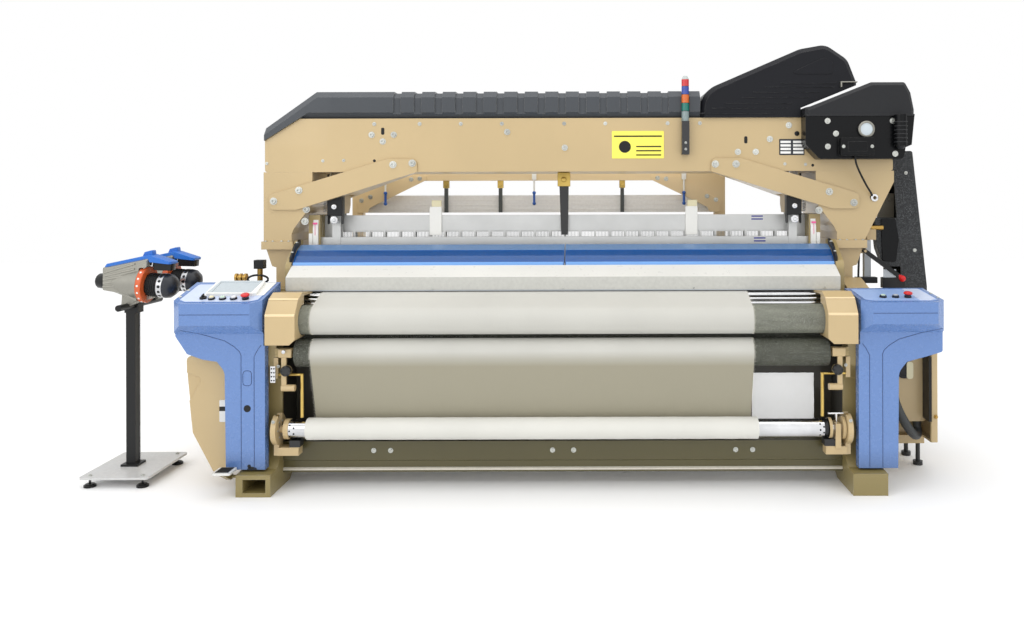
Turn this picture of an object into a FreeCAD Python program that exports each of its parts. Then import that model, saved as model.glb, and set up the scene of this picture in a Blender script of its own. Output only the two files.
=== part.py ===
import FreeCAD, Part
import math
import os
import re

import Sketcher
from FreeCAD import Placement, Rotation, Vector

# A water-jet power loom with an overhead dobby, and the stand that feeds its weft.
# Millimetres. X runs across the loom to the right, Y runs back into the loom, Z is up.
# Outlines are written in loom coordinates: X = 0 is the loom's middle, Y = 0 is the front
# of the control consoles and Z = 0 is the floor. The sheet's shift moves every piece so that
# the frame's origin is the middle of the whole machine's footprint, on the floor.

SIZES = {
    # frame
    "shift_x": -199.5,
    "shift_y": 1005.0,
    # side frames
    "frame_inner": 1465.0,
    "frame_outer": 1640.0,
    "foot_front": 20.0,
    "foot_high": 110.0,
    "bay_front": 190.0,
    "bay_low": 200.0,
    "bay_high": 560.0,
    "shelf_front": 108.0,
    "shelf_low": 640.0,
    "front_deck": 940.0,
    "deck_step": 460.0,
    "deck": 1000.0,
    "frame_rear": 1500.0,
    "tail_rear": 1710.0,
    "tail_high": 600.0,
    "tail_low": 440.0,
    "rear_foot": 1250.0,
    "arch_high": 95.0,
    "arch_front": 420.0,
    "arch_rear": 1150.0,
    "front_foot_back": 300.0,
    "frame_web": 35.0,
    "guide_inner": 1400.0,
    "guide_back": 1440.0,
    "guide_front": 612.0,
    "guide_rear": 784.0,
    "guide_wall": 10.0,
    "guide_low": 700.0,
    "guide_top": 1405.0,
    # consoles
    "console_inner": 1513.0,
    "console_outer_left": 1960.0,
    "console_outer_right": 1932.0,
    "column_inner": 1506.0,
    "console_front_high": 975.0,
    "console_face_low": 865.0,
    "undercut_low": 815.0,
    "console_depth_left": 300.0,
    "console_depth_right": 320.0,
    "console_rise_left": 78.0,
    "console_rise_right": 36.0,
    "button_r": 11.6,
    "button_gap": 0.4,
    "button_y_left": 62.0,
    "button_y_right": 100.0,
    "column_front": 60.0,
    "column_back": 148.0,
    "column_outer": 1705.0,
    "column_low": 126.0,
    "column_skin": 48.0,
    # take-up rollers and the cloth's way through them
    "roller_y": 150.0,
    "take_up_z": 873.0,
    "take_up_r": 75.0,
    "guide_z": 702.0,
    "guide_r": 72.0,
    "press_y": 243.2,
    "press_z": 785.3,
    "press_r": 50.0,
    "roller_half": 1370.0,
    "shaft_r": 25.0,
    "press_shaft_r": 18.0,
    "shaft_half": 1505.0,
    "running_gap": 0.5,
    "slide_gap": 0.4,
    "cloth_left": -1285.0,
    "cloth_right": 980.0,
    "cloth_thick": 2.0,
    "lead_rod_y": 250.0,
    "lead_rod_z": 986.0,
    "rod_r": 7.0,
    "beam_y": 130.0,
    "beam_z": 314.0,
    "tube_r": 48.0,
    "roll_r": 56.0,
    "roll_left": -1313.0,
    "roll_right": 1005.0,
    "fell_y": 484.0,
    "fell_z": 1012.0,
    # overhead beam, posts and covers
    "beam_front": 560.0,
    "beam_back": 1050.0,
    "beam_left": 1695.0,
    "beam_right": 1863.0,
    "beam_low": 1649.0,
    "beam_top": 1952.0,
    "beam_plate": 12.0,
    "cover_front": 545.0,
    "cover_back": 1065.0,
    "cover_low": 1952.0,
    "cover_top": 2105.0,
    "cover_bevel": 34.0,
    "cover_left_top": 1406.0,
    "cover_join": 770.0,
    "rib_first": -964.0,
    "rib_pitch": 116.5,
    "rib_groove": 42.0,
    "groove_deep": 9.0,
    "hump_top": 2366.0,
    "dobby_front": 460.0,
    "dobby_back": 1000.0,
    "dobby_left": 1343.0,
    "dobby_parting": 1955.0,
    "dobby_low": 1712.0,
    # front panel, splash covers and their hinge
    "cover_half": 1487.0,
    "cheek_inner": 1490.0,
    "hinge_y": 411.0,
    "hinge_z": 1138.0,
    # weaving parts
    "heald_half": 1425.0,
    "heald_first": 640.0,
    "heald_pitch": 36.0,
    "heald_thick": 12.0,
    "heald_high": 560.0,
    "stave_high": 90.0,
    "heald_low_foot": 716.0,
    "heald_high_foot": 840.0,
    "dent_pitch": 88.0,
    "dent_bar": 12.0,
    "bars": 29.0,
    "hanger_x": 1314.0,
    "rock_y": 470.0,
    "rock_z": 560.0,
    "main_y": 800.0,
    "main_z": 480.0,
    "warp_y": 1650.0,
    "warp_z": 520.0,
    "flange_r": 400.0,
    "yarn_r": 250.0,
    "rest_y": 1560.0,
    "rest_z": 1060.0,
    "rest_r": 65.0,
    "warp_left": -1285.0,
    "warp_right": 960.0,
    # cabinet door's hinge
    "door_x": 1995.0,
    "door_y": 683.0,
    # weft feeders on their stand
    "stand_x": -2340.0,
    "stand_y": 366.0,
    "feeder_x": -2226.0,
    "feeder_z": 1045.0,
    "feeder_y_near": 290.0,
    "feeder_y_far": 560.0,
    "feeder_dip": 4.5,
}

document = FreeCAD.newDocument("PowerLoom")
sheet = document.addObject("Spreadsheet::Sheet", "Sizes")
for row, (name, size) in enumerate(SIZES.items(), start=1):
    sheet.set(f"A{row}", name)
    sheet.set(f"B{row}", str(size))
    sheet.setAlias(f"B{row}", name)
document.recompute()

NODES = []
PLANES = {"x": "YZ_Plane", "y": "XZ_Plane", "z": "XY_Plane"}
TURN = {
    "x": Rotation(),
    "y": Rotation(Vector(0, 0, 1), 90),
    "z": Rotation(Vector(0, 1, 0), -90),
}
WORD = re.compile(r"[a-z][a-z_]*")


# ---------------------------------------------------------------- helpers

def from_sheet(text):
    """The expression with each sheet alias written as Sizes.alias."""
    return WORD.sub(
        lambda word: f"Sizes.{word.group()}" if word.group() in SIZES else word.group(),
        str(text),
    )


def bind(thing, prop, text):
    thing.setExpression(prop, from_sheet(text))


def place(thing, x="0", y="0", z="0", turn=None):
    """Places an object in loom coordinates, moved by the sheet's shift."""
    thing.Placement = Placement(Vector(), turn or Rotation())
    bind(thing, "Placement.Base.x", f"{x} - shift_x")
    bind(thing, "Placement.Base.y", f"{y} - shift_y")
    bind(thing, "Placement.Base.z", z)
    return thing


def keep(thing, name):
    """Makes an object one of the loom's kept nodes."""
    thing.Label = name
    NODES.append(thing)
    return thing


def mirror_x(side, text):
    return f"{text}" if side > 0 else f"-({text})"


def span(side, inner, outer):
    """The lower and higher X of a stretch that is given by its distances from the middle."""
    return (inner, outer) if side > 0 else (f"-({outer})", f"-({inner})")


def both(side, outline):
    return [(mirror_x(side, x), z) for x, z in outline]


def new_body(name="piece"):
    return place(document.addObject("PartDesign::Body", name))


def draw(body, axis, offset, corners):
    """A closed outline on the plane square to axis, every corner bound to the sheet."""
    sketch = body.newObject("Sketcher::SketchObject", "outline")
    role = PLANES[axis]
    plane = [item for item in body.Origin.OriginFeatures if item.Role == role][0]
    sketch.AttachmentSupport = [(plane, "")]
    sketch.MapMode = "FlatFace"
    bind(sketch, "AttachmentOffset.Base.z", f"-({offset})" if axis == "y" else offset)
    count = len(corners)
    ring = []
    for index in range(count):
        angle = 2 * math.pi * index / count
        ring.append(Vector(500 * math.cos(angle), 500 * math.sin(angle), 0))
    for index in range(count):
        sketch.addGeometry(Part.LineSegment(ring[index], ring[(index + 1) % count]), False)
    rules = []
    for index in range(count):
        rules.append(Sketcher.Constraint("Coincident", index, 2, (index + 1) % count, 1))
    for index in range(count):
        rules.append(Sketcher.Constraint("DistanceX", -1, 1, index, 1, ring[index].x))
        rules.append(Sketcher.Constraint("DistanceY", -1, 1, index, 1, ring[index].y))
    sketch.addConstraint(rules)
    for index, (first, second) in enumerate(corners):
        bind(sketch, f"Constraints[{count + 2 * index}]", first)
        bind(sketch, f"Constraints[{count + 2 * index + 1}]", second)
    return sketch


def draw_circles(body, axis, offset, circles):
    """Circles (first, second, radius) on the plane square to axis."""
    sketch = body.newObject("Sketcher::SketchObject", "circles")
    plane = [item for item in body.Origin.OriginFeatures if item.Role == PLANES[axis]][0]
    sketch.AttachmentSupport = [(plane, "")]
    sketch.MapMode = "FlatFace"
    bind(sketch, "AttachmentOffset.Base.z", f"-({offset})" if axis == "y" else offset)
    for index, (first, second, radius) in enumerate(circles):
        start = Vector(100 * index + 50, 50, 0)
        sketch.addGeometry(Part.Circle(start, Vector(0, 0, 1), 20), False)
        sketch.addConstraint(Sketcher.Constraint("DistanceX", -1, 1, index, 3, start.x))
        sketch.addConstraint(Sketcher.Constraint("DistanceY", -1, 1, index, 3, start.y))
        sketch.addConstraint(Sketcher.Constraint("Radius", index, 20))
        bind(sketch, f"Constraints[{3 * index}]", first)
        bind(sketch, f"Constraints[{3 * index + 1}]", second)
        bind(sketch, f"Constraints[{3 * index + 2}]", radius)
    return sketch


def extrude(body, kind, sketch, axis, start, end):
    feature = body.newObject(f"PartDesign::{kind}", kind.lower())
    feature.Profile = sketch
    bind(feature, "Length", f"({end}) - ({start})")
    feature.Reversed = (axis == "y") == (kind == "Pad")
    sketch.Visibility = False
    return feature


def add(body, axis, outline, start, end, rounds=None):
    """Adds a prism of the outline between start and end, with its named corners rounded."""
    sketch = draw(body, axis, start, outline)
    feature = extrude(body, "Pad", sketch, axis, start, end)
    return round_corners(body, feature, sketch, axis, rounds) if rounds else feature


def remove(body, axis, outline, start, end):
    return extrude(body, "Pocket", draw(body, axis, start, outline), axis, start, end)


def add_rounds(body, axis, circles, start, end):
    return extrude(body, "Pad", draw_circles(body, axis, start, circles), axis, start, end)


def drill(body, axis, circles, start, end):
    return extrude(body, "Pocket", draw_circles(body, axis, start, circles), axis, start, end)


def along(edge, axis):
    direction = edge.Vertexes[-1].Point.sub(edge.Vertexes[0].Point)
    return direction.Length > 1e-6 and abs(getattr(direction, axis)) > 0.999 * direction.Length


def soften(body, kind, radius, names):
    """A fillet or chamfer on the named edges of the body's last feature."""
    base = body.Tip
    feature = body.newObject(f"PartDesign::{kind}", kind.lower())
    feature.Base = (base, names)
    if kind == "Fillet":
        bind(feature, "Radius", radius)
    else:
        bind(feature, "Size", radius)
    document.recompute([feature])
    return feature


def round_corners(body, feature, sketch, axis, rounds):
    """Rounds the prism's long edges: rounds maps a radius to the corners' numbers."""
    for radius, corners in rounds.items():
        document.recompute()
        base = body.Tip
        names = []
        for corner in corners:
            point = sketch.Geometry[corner].StartPoint
            for number, edge in enumerate(base.Shape.Edges, start=1):
                if not along(edge, axis):
                    continue
                middle = edge.Vertexes[0].Point
                here = {"x": (middle.y, middle.z), "y": (middle.x, middle.z),
                        "z": (middle.x, middle.y)}[axis]
                if abs(here[0] - point.x) + abs(here[1] - point.y) < 0.01:
                    names.append(f"Edge{number}")
        feature = soften(body, "Fillet", radius, names)
    return feature


def edges_where(body, test):
    """Names of the tip's edges whose lowest and highest corner, in loom axes, pass the test."""
    document.recompute()
    names = []
    for number, edge in enumerate(body.Tip.Shape.Edges, start=1):
        box = edge.BoundBox
        if test(box):
            names.append(f"Edge{number}")
    return names


def turned(axis, x, y, z, profile, tilt=None):
    """A piece turned about axis; profile is (place along the axis, radius)."""
    body = document.addObject("PartDesign::Body", "turned")
    place(body, x, y, z, tilt or TURN[axis])
    sketch = draw(body, "z", "0", profile)
    feature = body.newObject("PartDesign::Revolution", "revolution")
    feature.Profile = sketch
    feature.ReferenceAxis = (sketch, ["H_Axis"])
    feature.Angle = 360
    return body


def steps(*parts):
    """A turned profile from (start, end, radius) steps that follow each other."""
    profile = [(parts[0][0], "0")]
    for start, end, radius in parts:
        profile.append((start, radius))
        profile.append((end, radius))
    profile.append((parts[-1][1], "0"))
    return profile


def rod(axis, x, y, z, radius, length):
    """A round bar that starts at x, y, z and runs along axis."""
    bar = document.addObject("Part::Cylinder", "rod")
    turn = {"x": Rotation(Vector(0, 1, 0), 90), "y": Rotation(Vector(1, 0, 0), -90),
            "z": Rotation()}[axis]
    place(bar, x, y, z, turn)
    bind(bar, "Radius", radius)
    bind(bar, "Height", length)
    return bar


def block(x, y, z, length, width, height):
    """A square bar or plate from its lowest corner and its three sizes."""
    box = place(document.addObject("Part::Box", "block"), x, y, z)
    bind(box, "Length", length)
    bind(box, "Width", width)
    bind(box, "Height", height)
    return box


def fused(*pieces):
    joint = document.addObject("Part::MultiFuse", "fused")
    joint.Shapes = list(pieces)
    return joint


def cut(base, *tools):
    result = document.addObject("Part::Cut", "cut")
    result.Base = base
    result.Tool = tools[0] if len(tools) == 1 else fused(*tools)
    return result


def group(*pieces):
    """Separate solids that share one node."""
    result = document.addObject("Part::Compound", "group")
    result.Links = list(pieces)
    return result


# ---------------------------------------------------------------- frame

def side_frame(side, name):
    """The casting, its two feet under the arch, the heald frames' guide and the lever's pin."""
    body = new_body()
    outline = [
        ("foot_front", "arch_high"), ("foot_front", "foot_high"), ("112", "foot_high + 6"),
        ("bay_front", "bay_low"),
        ("bay_front", "bay_high"), ("shelf_front", "shelf_low"), ("shelf_front", "front_deck"),
        ("deck_step", "front_deck"), ("deck_step", "deck"), ("frame_rear", "deck"),
        ("tail_rear", "tail_high"), ("tail_rear", "tail_low"), ("frame_rear", "tail_low - 60"),
        ("frame_rear", "arch_high"),
    ]
    start, end = span(side, "frame_inner", "frame_outer")
    add(body, "x", outline, start, end, {"60": [10, 11], "30": [3, 4, 5]})
    recess = span(side, "frame_inner + frame_web", "frame_outer + 1")
    for front, back, low, high in (
        ("500", "760", "180", "860"), ("830", "1090", "180", "860"), ("1160", "1420", "180", "860"),
    ):
        window = [(front, low), (front, high), (back, high), (back, low)]
        remove(body, "x", window, *recess)
    guide = new_body()
    channel = [
        ("guide_inner", "guide_front"), ("frame_inner", "guide_front"),
        ("frame_inner", "guide_rear"), ("guide_inner", "guide_rear"),
        ("guide_inner", "guide_rear - guide_wall"), ("guide_back", "guide_rear - guide_wall"),
        ("guide_back", "guide_front + guide_wall"), ("guide_inner", "guide_front + guide_wall"),
    ]
    add(guide, "z", both(side, channel), "guide_low", "guide_top")
    slot_back = "guide_front + guide_wall - 1"
    for number in range(5):
        front = slot_back
        back = f"heald_first + {number} * heald_pitch - slide_gap" if number < 4 else "guide_rear - 1"
        strip = [("guide_inner + 2", front), ("guide_back + 1", front), ("guide_back + 1", back),
                 ("guide_inner + 2", back)]
        add(guide, "z", both(side, strip), "deck", "guide_top")
        slot_back = f"heald_first + {number} * heald_pitch + heald_thick + slide_gap"
    cheek_outer = "cheek_inner + 43" if side > 0 else "cheek_inner + 30"
    cheek = [
        ("384", "front_deck - 1"), ("384", "1140"), ("546", "1262"), ("592", "1262"),
        ("592", "1205"), ("456", "1108"), ("456", "front_deck - 1"),
    ]
    add(body, "x", cheek, *span(side, "cheek_inner", cheek_outer), {"60": [1, 5]})
    bores = [
        ("roller_y", "take_up_z", "shaft_r + running_gap"),
        ("press_y", "press_z", "press_shaft_r + running_gap"),
        ("roller_y", "guide_z", "shaft_r + running_gap"),
        ("rock_y", "rock_z", "30 + running_gap"),
        ("warp_y", "warp_z", "30 + running_gap"),
    ]
    hole_start, hole_end = span(side, "frame_inner - 1", "shaft_half + 5")
    drill(body, "x", bores, hole_start, hole_end)
    drill(body, "x", [("main_y", "main_z", "30 + running_gap")],
          *span(side, "frame_inner - 1", "frame_outer + 1"))
    front_foot = new_body()
    add(front_foot, "x", [("foot_front", "0"), ("foot_front", "arch_high"), ("arch_front", "arch_high"),
                          ("front_foot_back", "0")], start, end)
    rear_foot = new_body()
    add(rear_foot, "x", [("frame_rear", "0"), ("frame_rear", "arch_high"), ("arch_rear", "arch_high"),
                         ("rear_foot", "0")], start, end)
    if side < 0:
        window = [("-1605", "20"), ("-1605", "88"), ("-1490", "88"), ("-1490", "20")]
        remove(front_foot, "y", window, "foot_front - 1", "front_foot_back + 10")
        add_rounds(front_foot, "x", [("100", "80", "8")], "-frame_outer - 80", "-frame_outer + 1")
    lever_pin = new_body()
    add(lever_pin, "x", [("90", "690"), ("90", "735"), ("112", "735"), ("112", "690")],
        *span(side, "1448", "frame_inner"))
    add_rounds(lever_pin, "x", [("96", "712", "9")], *span(side, "1396", "frame_inner"))
    rest = [("1500", "deck - 1"), ("1500", "rest_z + 70"), ("1620", "rest_z + 70"),
            ("1620", "rest_z - 60"), ("1560", "900"), ("1520", "900")]
    add(body, "x", rest, *span(side, "frame_inner", "frame_inner + 40"))
    drill(body, "x", [("rest_y", "rest_z", "25 + running_gap")],
          *span(side, "frame_inner - 1", "frame_inner + 41"))
    return keep(group(body, guide, front_foot, rear_foot, lever_pin), name)


def cross_beams():
    front = new_body()
    section = [
        ("196", "69"), ("196", "86"), ("206", "92"), ("206", "124"), ("200", "130"),
        ("200", "229"), ("320", "229"), ("320", "219"), ("218", "219"),
        ("218", "81"), ("340", "81"), ("340", "69"),
    ]
    add(front, "x", section, "-frame_inner", "frame_inner")
    rear = new_body()
    box = [("1340", "860"), ("1340", "950"), ("1420", "950"), ("1420", "860")]
    add(rear, "x", box, "-frame_inner", "frame_inner")
    guard = new_body()
    sheet_side = [("404", "250"), ("404", "900"), ("407", "900"), ("407", "253"), ("430", "253"),
                  ("430", "250")]
    add(guard, "x", sheet_side, "-frame_inner", "frame_inner")
    return keep(group(front, rear, guard), "cross_beams")


def upper_beam():
    body = new_body()
    outline = [
        ("-beam_left", "beam_low"), ("-beam_left", "1827"), ("-1497", "beam_top"),
        ("1365", "beam_top"), ("1365", "1799"), ("1450", "1716"), ("beam_right", "1716"),
        ("beam_right", "beam_low"),
    ]
    add(body, "y", outline, "beam_front", "beam_back", {"14": [0, 6, 7], "30": [4]})
    hollow = [
        ("-beam_left + beam_plate", "beam_low + beam_plate"), ("-beam_left + beam_plate", "1822"),
        ("-1497", "beam_top + 9"), ("1365 - beam_plate", "beam_top + 9"),
        ("1365 - beam_plate", "1794"), ("1445", "1716 - beam_plate"),
        ("beam_right - beam_plate", "1716 - beam_plate"),
        ("beam_right - beam_plate", "beam_low + beam_plate"),
    ]
    remove(body, "y", hollow, "beam_front + beam_plate", "beam_back - beam_plate")
    for side in (-1, 1):
        for reach in ("hanger_x - 24 - slide_gap - 12", "hanger_x + 24 + slide_gap"):
            cheek = [("622", "1412"), ("622", "beam_low + 2"), ("800", "beam_low + 2"),
                     ("800", "1460"), ("770", "1412")]
            add(body, "x", cheek, *span(side, reach, f"{reach} + 12"))
    middle_guide = [("-34", "beam_low + 1"), ("24", "beam_low + 1"), ("18", "1285"), ("-22", "1285")]
    add(body, "y", middle_guide, "692", "708")
    return keep(body, "upper_beam")


def post(side, name):
    body = new_body()
    top_outer = "1869" if side > 0 else "1703"
    slant = [("1869", "1586")] if side > 0 else []
    outline = [
        ("1545", "1230"), ("1545", "1300"), ("1529", "1334"), ("1427", "1470"),
        ("1427", "beam_low"), (top_outer, "beam_low"), *slant, ("1703", "1257"), ("1703", "1230"),
    ]
    add(body, "y", both(side, outline), "beam_front", "beam_back", {"90": [3], "60": [2]})
    inside = [("1445", "1490"), ("1445", "beam_low + 1"), ("1690", "beam_low + 1"),
              ("1690", "1270"), ("1557", "1270"), ("1557", "1350")]
    remove(body, "y", both(side, inside), "beam_front + 10", "beam_back - 10")
    flange = [("1535", "1212"), ("1535", "1257"), ("1713", "1257"), ("1713", "1212")]
    add(body, "y", both(side, flange), "beam_front - 12", "beam_back + 12")
    funnel = [("1552", "1213"), ("1696", "1213"), ("1664", "1116"), ("1640", "1108"),
              ("1640", "deck"), ("1577", "deck"), ("1577", "1130")]
    add(body, "y", both(side, funnel), "beam_front + 20", "beam_back - 20")
    if side > 0:
        drill(body, "y", [("1750", "1499", "17")], "beam_front - 1", "beam_front + 20")
        lug = [("1640", "1178"), ("1640", "1206"), ("1728", "1206"), ("1728", "1178")]
        add(body, "y", lug, "612", "640")
        add_rounds(body, "y", [("1716", "1192", "8")], "588", "613")
    return keep(body, name)


def braces():
    plates = []
    for side in (-1, 1):
        body = new_body()
        face = [
            ("1670", "1520"), ("1667", "1436"), ("1512", "1436"), ("832", "1648"),
            ("832", "1722"), ("1000", "1722"),
        ]
        add(body, "y", both(side, face), "beam_front - 12", "beam_front",
            {"30": [0, 1, 4], "60": [2, 5]})
        soffit = [("1425", "1463.3"), ("1425", "1475.9"), ("850", "1655"), ("850", "1642.6")]
        add(body, "y", both(side, soffit), "beam_front - 1", "beam_back - 60")
        taper = [("1426", "beam_back + 1"), ("849", "beam_back + 1"), ("849", "beam_front + 50"),
                 ("1426", "beam_back - 80")]
        remove(body, "z", both(side, taper), "1400", "beam_low + 40")
        over_beam = [("700", "beam_low"), ("1440", "beam_low"), ("1440", "beam_low + 60"),
                     ("700", "beam_low + 60")]
        remove(body, "y", both(side, over_beam), "beam_front", "beam_back + 2")
        slot = [("hanger_x - 66", "616"), ("hanger_x + 66", "616"), ("hanger_x + 66", "806"),
                ("hanger_x - 66", "806")]
        remove(body, "z", both(side, slot), "1400", "beam_low")
        plates.append(body)
    return keep(group(*plates), "braces")


def rear_portal():
    body = new_body()
    arch = [
        ("-1420", "950"), ("-1420", "1713"), ("1040", "1713"), ("1040", "950"), ("970", "950"),
        ("970", "1480"), ("740", "1613"), ("-1120", "1613"), ("-1350", "1480"), ("-1350", "950"),
    ]
    add(body, "y", arch, "1345", "1405")
    for side in (-1, 1):
        gusset = [(f"-190 + {side} * {x}", z) for x, z in (
            (740, "1640"), (930, "1640"), (1195, "1480"), (1195, "1404"), (1128, "1404"),
            (1112, "1436"), (740, "1618"))]
        add(body, "y", gusset, "1337", "1346")
    add(body, "y", [("-1351", "1402"), ("-1351", "1516"), ("971", "1516"), ("971", "1402")],
        "1388", "1392")
    for middle in ("-805", "-445", "362"):
        bar = [(f"{middle} - 12", "1403"), (f"{middle} + 12", "1403"),
               (f"{middle} + 12", "1614"), (f"{middle} - 12", "1614")]
        add(body, "y", bar, "1365", "1389")
    return keep(body, "rear_portal")


# ---------------------------------------------------------------- covers overhead

def beam_cover():
    body = new_body()
    outline = [
        ("-beam_left", "1827"), ("-beam_left", "1900"), ("-cover_left_top", "cover_top"),
        ("cover_join", "cover_top"), ("cover_join", "cover_low"), ("-1497", "cover_low"),
    ]
    add(body, "y", outline, "cover_front", "cover_back")
    top_edges = edges_where(body, lambda box: box.ZMax > 1890 and box.YLength < 1 and box.ZMin > 1895
                            and box.XLength > 200)
    soften(body, "Chamfer", "cover_bevel", top_edges)
    groove = [
        ("530", "1972"), ("530", "2130"), ("1080", "2130"), ("1080", "1972"),
        ("cover_back - groove_deep", "1972"),
        ("cover_back - groove_deep", "cover_top - cover_bevel - 4"),
        ("cover_back - cover_bevel - 4", "cover_top - groove_deep"),
        ("cover_front + cover_bevel + 4", "cover_top - groove_deep"),
        ("cover_front + groove_deep", "cover_top - cover_bevel - 4"),
        ("cover_front + groove_deep", "1972"),
    ]
    first = remove(body, "x", groove, "rib_first", "rib_first + rib_groove")
    pattern = body.newObject("PartDesign::LinearPattern", "ribs")
    pattern.Originals = [first]
    axis = [item for item in body.Origin.OriginFeatures if item.Role == "X_Axis"][0]
    pattern.Direction = (axis, [""])
    bind(pattern, "Length", "rib_pitch * 14")
    pattern.Occurrences = 15
    body.Tip = pattern
    return keep(body, "beam_cover")


def hump_cover():
    body = new_body()
    outline = [
        ("cover_join + 2", "cover_low"), ("cover_join + 2", "2097"), ("1336", "2340"),
        ("1484", "hump_top"), ("1608", "2281"), ("1659", "2150"), ("1655", "2133"),
        ("1338", "2006"), ("1338", "cover_low"),
    ]
    add(body, "y", outline, "cover_front", "cover_back", {"150": [1, 2], "90": [3, 4]})
    rim = edges_where(
        body, lambda box: box.YLength < 0.1 and box.ZMax > 2098 and box.ZMin > 2090 and
        not (abs(box.ZMin - 2133) < 1) and box.XLength > 5 and box.ZMax > 2140)
    soften(body, "Chamfer", "24", rim)
    return keep(body, "hump_cover")


def dobby():
    case = new_body()
    face = [
        ("dobby_left", "1794"), ("dobby_left", "dobby_parting"), ("1948", "dobby_parting"),
        ("1941", "1882"), ("1932", "1790"), ("1898", "1776"), ("1888", "dobby_low"),
        ("1420", "dobby_low"),
    ]
    add(case, "y", face, "dobby_front", "beam_front - 4", {"24": [0, 7, 6]})
    rear = [
        ("1372", "1805"), ("1372", "dobby_parting"), ("1948", "dobby_parting"),
        ("1941", "1882"), ("1932", "1790"), ("1898", "1776"), ("1889", "1716"), ("1464", "1716"),
    ]
    add(case, "y", rear, "beam_front - 5", "dobby_back")
    terminal = [("1527", "1729"), ("1527", "1829"), ("1710", "1829"), ("1710", "1729")]
    add(case, "y", terminal, "420", "dobby_front + 1", {"10": [0, 1, 2, 3]})
    add_rounds(case, "y", [("1677", "1876", "47")], "448", "dobby_front + 1")
    add_rounds(case, "z", [("1860", "430", "33")], "1782", "dobby_parting")
    keep(case, "dobby_case")
    cover = new_body()
    hood = [
        ("dobby_left", "dobby_parting"), ("dobby_left", "1999"), ("1374", "2006"),
        ("1710", "2139"), ("1898", "2139"), ("1930", "2081"), ("1949", "1985"),
        ("1948", "dobby_parting"),
    ]
    add(cover, "y", hood, "dobby_front - 4", "dobby_back", {"20": [2, 3, 4, 5]})
    front = edges_where(cover, lambda box: box.YMax < 457 and box.ZMax > 1958)
    soften(cover, "Chamfer", "18", front)
    return keep(cover, "dobby_cover")


def drive_guard():
    body = new_body()
    outline = [
        ("1907", "1768"), ("2027", "1768"), ("2111", "979"), ("2111", "360"), ("1985", "360"),
        ("1967", "979"),
    ]
    add(body, "y", outline, "700", "1000", {"60": [3], "14": [0, 1]})
    hollow = [
        ("1880", "1760"), ("2020", "1760"), ("2103", "979"), ("2103", "368"), ("1960", "368"),
        ("1940", "979"),
    ]
    remove(body, "y", hollow, "708", "992")
    plate = [("1803", "1378"), ("1935", "1378"), ("1972", "1095"), ("1860", "1095"), ("1822", "1200")]
    add(body, "y", plate, "701", "760")
    arm = [("frame_outer", "875"), ("frame_outer", "935"), ("1990", "935"), ("1990", "875")]
    add(body, "y", arm, "975", "996")
    tie = [("1703 + 166 * (1330 - 1257) / 329", "1330"), ("1703 + 166 * (1378 - 1257) / 329", "1378"),
           ("1830", "1378"), ("1830", "1330")]
    add(body, "y", tie, "730", "760")
    return keep(body, "drive_guard")


# ---------------------------------------------------------------- consoles and controls

def console(side, name, depth, rise):
    body = new_body()
    outer = "console_outer_left" if side < 0 else "console_outer_right"
    belly = [(outer, "803"), (f"{outer} - 59", "713"), ("1822", "685")]
    belly_low = "674"
    if side > 0:
        belly = [(outer, "716"), (f"{outer} - 80", "692"), ("1790", "676")]
        belly_low = "664"
    head = [
        ("console_inner", f"console_front_high + {rise}"), (outer, f"console_front_high + {rise}"),
        *belly, ("column_outer + 45", belly_low), ("console_inner", belly_low),
    ]
    add(body, "y", both(side, head), "0", depth, {"12": [2, 3]})
    column = [
        ("column_inner", "755"), ("column_outer + 60", "755"), ("column_outer + 45", belly_low),
        ("column_outer + 5", f"{belly_low} - 50"), ("column_outer", "column_low"),
        ("column_inner", "column_low"),
    ]
    add(body, "y", both(side, column), "column_front", "column_back", {"70": [3]})
    undercut = [
        ("-20", "console_face_low"), ("0", "console_face_low"), ("column_front", "undercut_low"),
        ("column_front", "90"), ("-20", "90"),
    ]
    reach = span(side, "column_inner - 10", f"{outer} + 10")
    remove(body, "x", undercut, *reach)
    rear_high = f"console_front_high + {rise}"
    slope = [
        ("-10", "console_front_high"), ("0", "console_front_high"), (f"{depth}", rear_high),
        (f"{depth} + 10", rear_high), (f"{depth} + 10", "1200"), ("-10", "1200"),
    ]
    remove(body, "x", slope, *reach)
    clear = [("column_inner - 10", "90"), ("column_inner - 10", "front_deck + 3"),
             ("frame_outer + 2", "front_deck + 3"), ("frame_outer + 2", "90")]
    remove(body, "y", both(side, clear), "column_front + column_skin", f"{depth} + 10")
    corners = edges_where(body, lambda box: box.ZLength > 60 and box.XLength < 1 and box.YMax < 1)
    soften(body, "Chamfer", "46", corners)
    if side > 0:
        add_rounds(body, "z", [("1742", "250", "32")], "630", "700")
    collars = []
    bores = []
    for _, place_side, x in BUTTONS:
        if place_side == side:
            collars.append(on_lid(side, x, steps(("-2", "10", "17"), ("10", "11.5", "15.5"))))
            bores.append(on_lid(side, x, steps(("-20", "14", "button_r + button_gap"))))
    return keep(cut(fused(body, *collars), *bores), name)


BUTTONS = (
    ("push_button_1", -1, "-1776"),
    ("push_button_2", -1, "-1720"),
    ("push_button_3", -1, "-1664"),
    ("stop_button_left", -1, "-1604"),
    ("start_button", 1, "1644"),
    ("jog_button", 1, "1708"),
    ("stop_button_right", 1, "1771"),
)


def lid_tilt(side):
    """The angle of a console's sloping top, in degrees, and its rise for each millimetre back."""
    word = "left" if side < 0 else "right"
    slope = SIZES[f"console_rise_{word}"] / SIZES[f"console_depth_{word}"]
    return math.degrees(math.atan(slope)), slope


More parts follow.
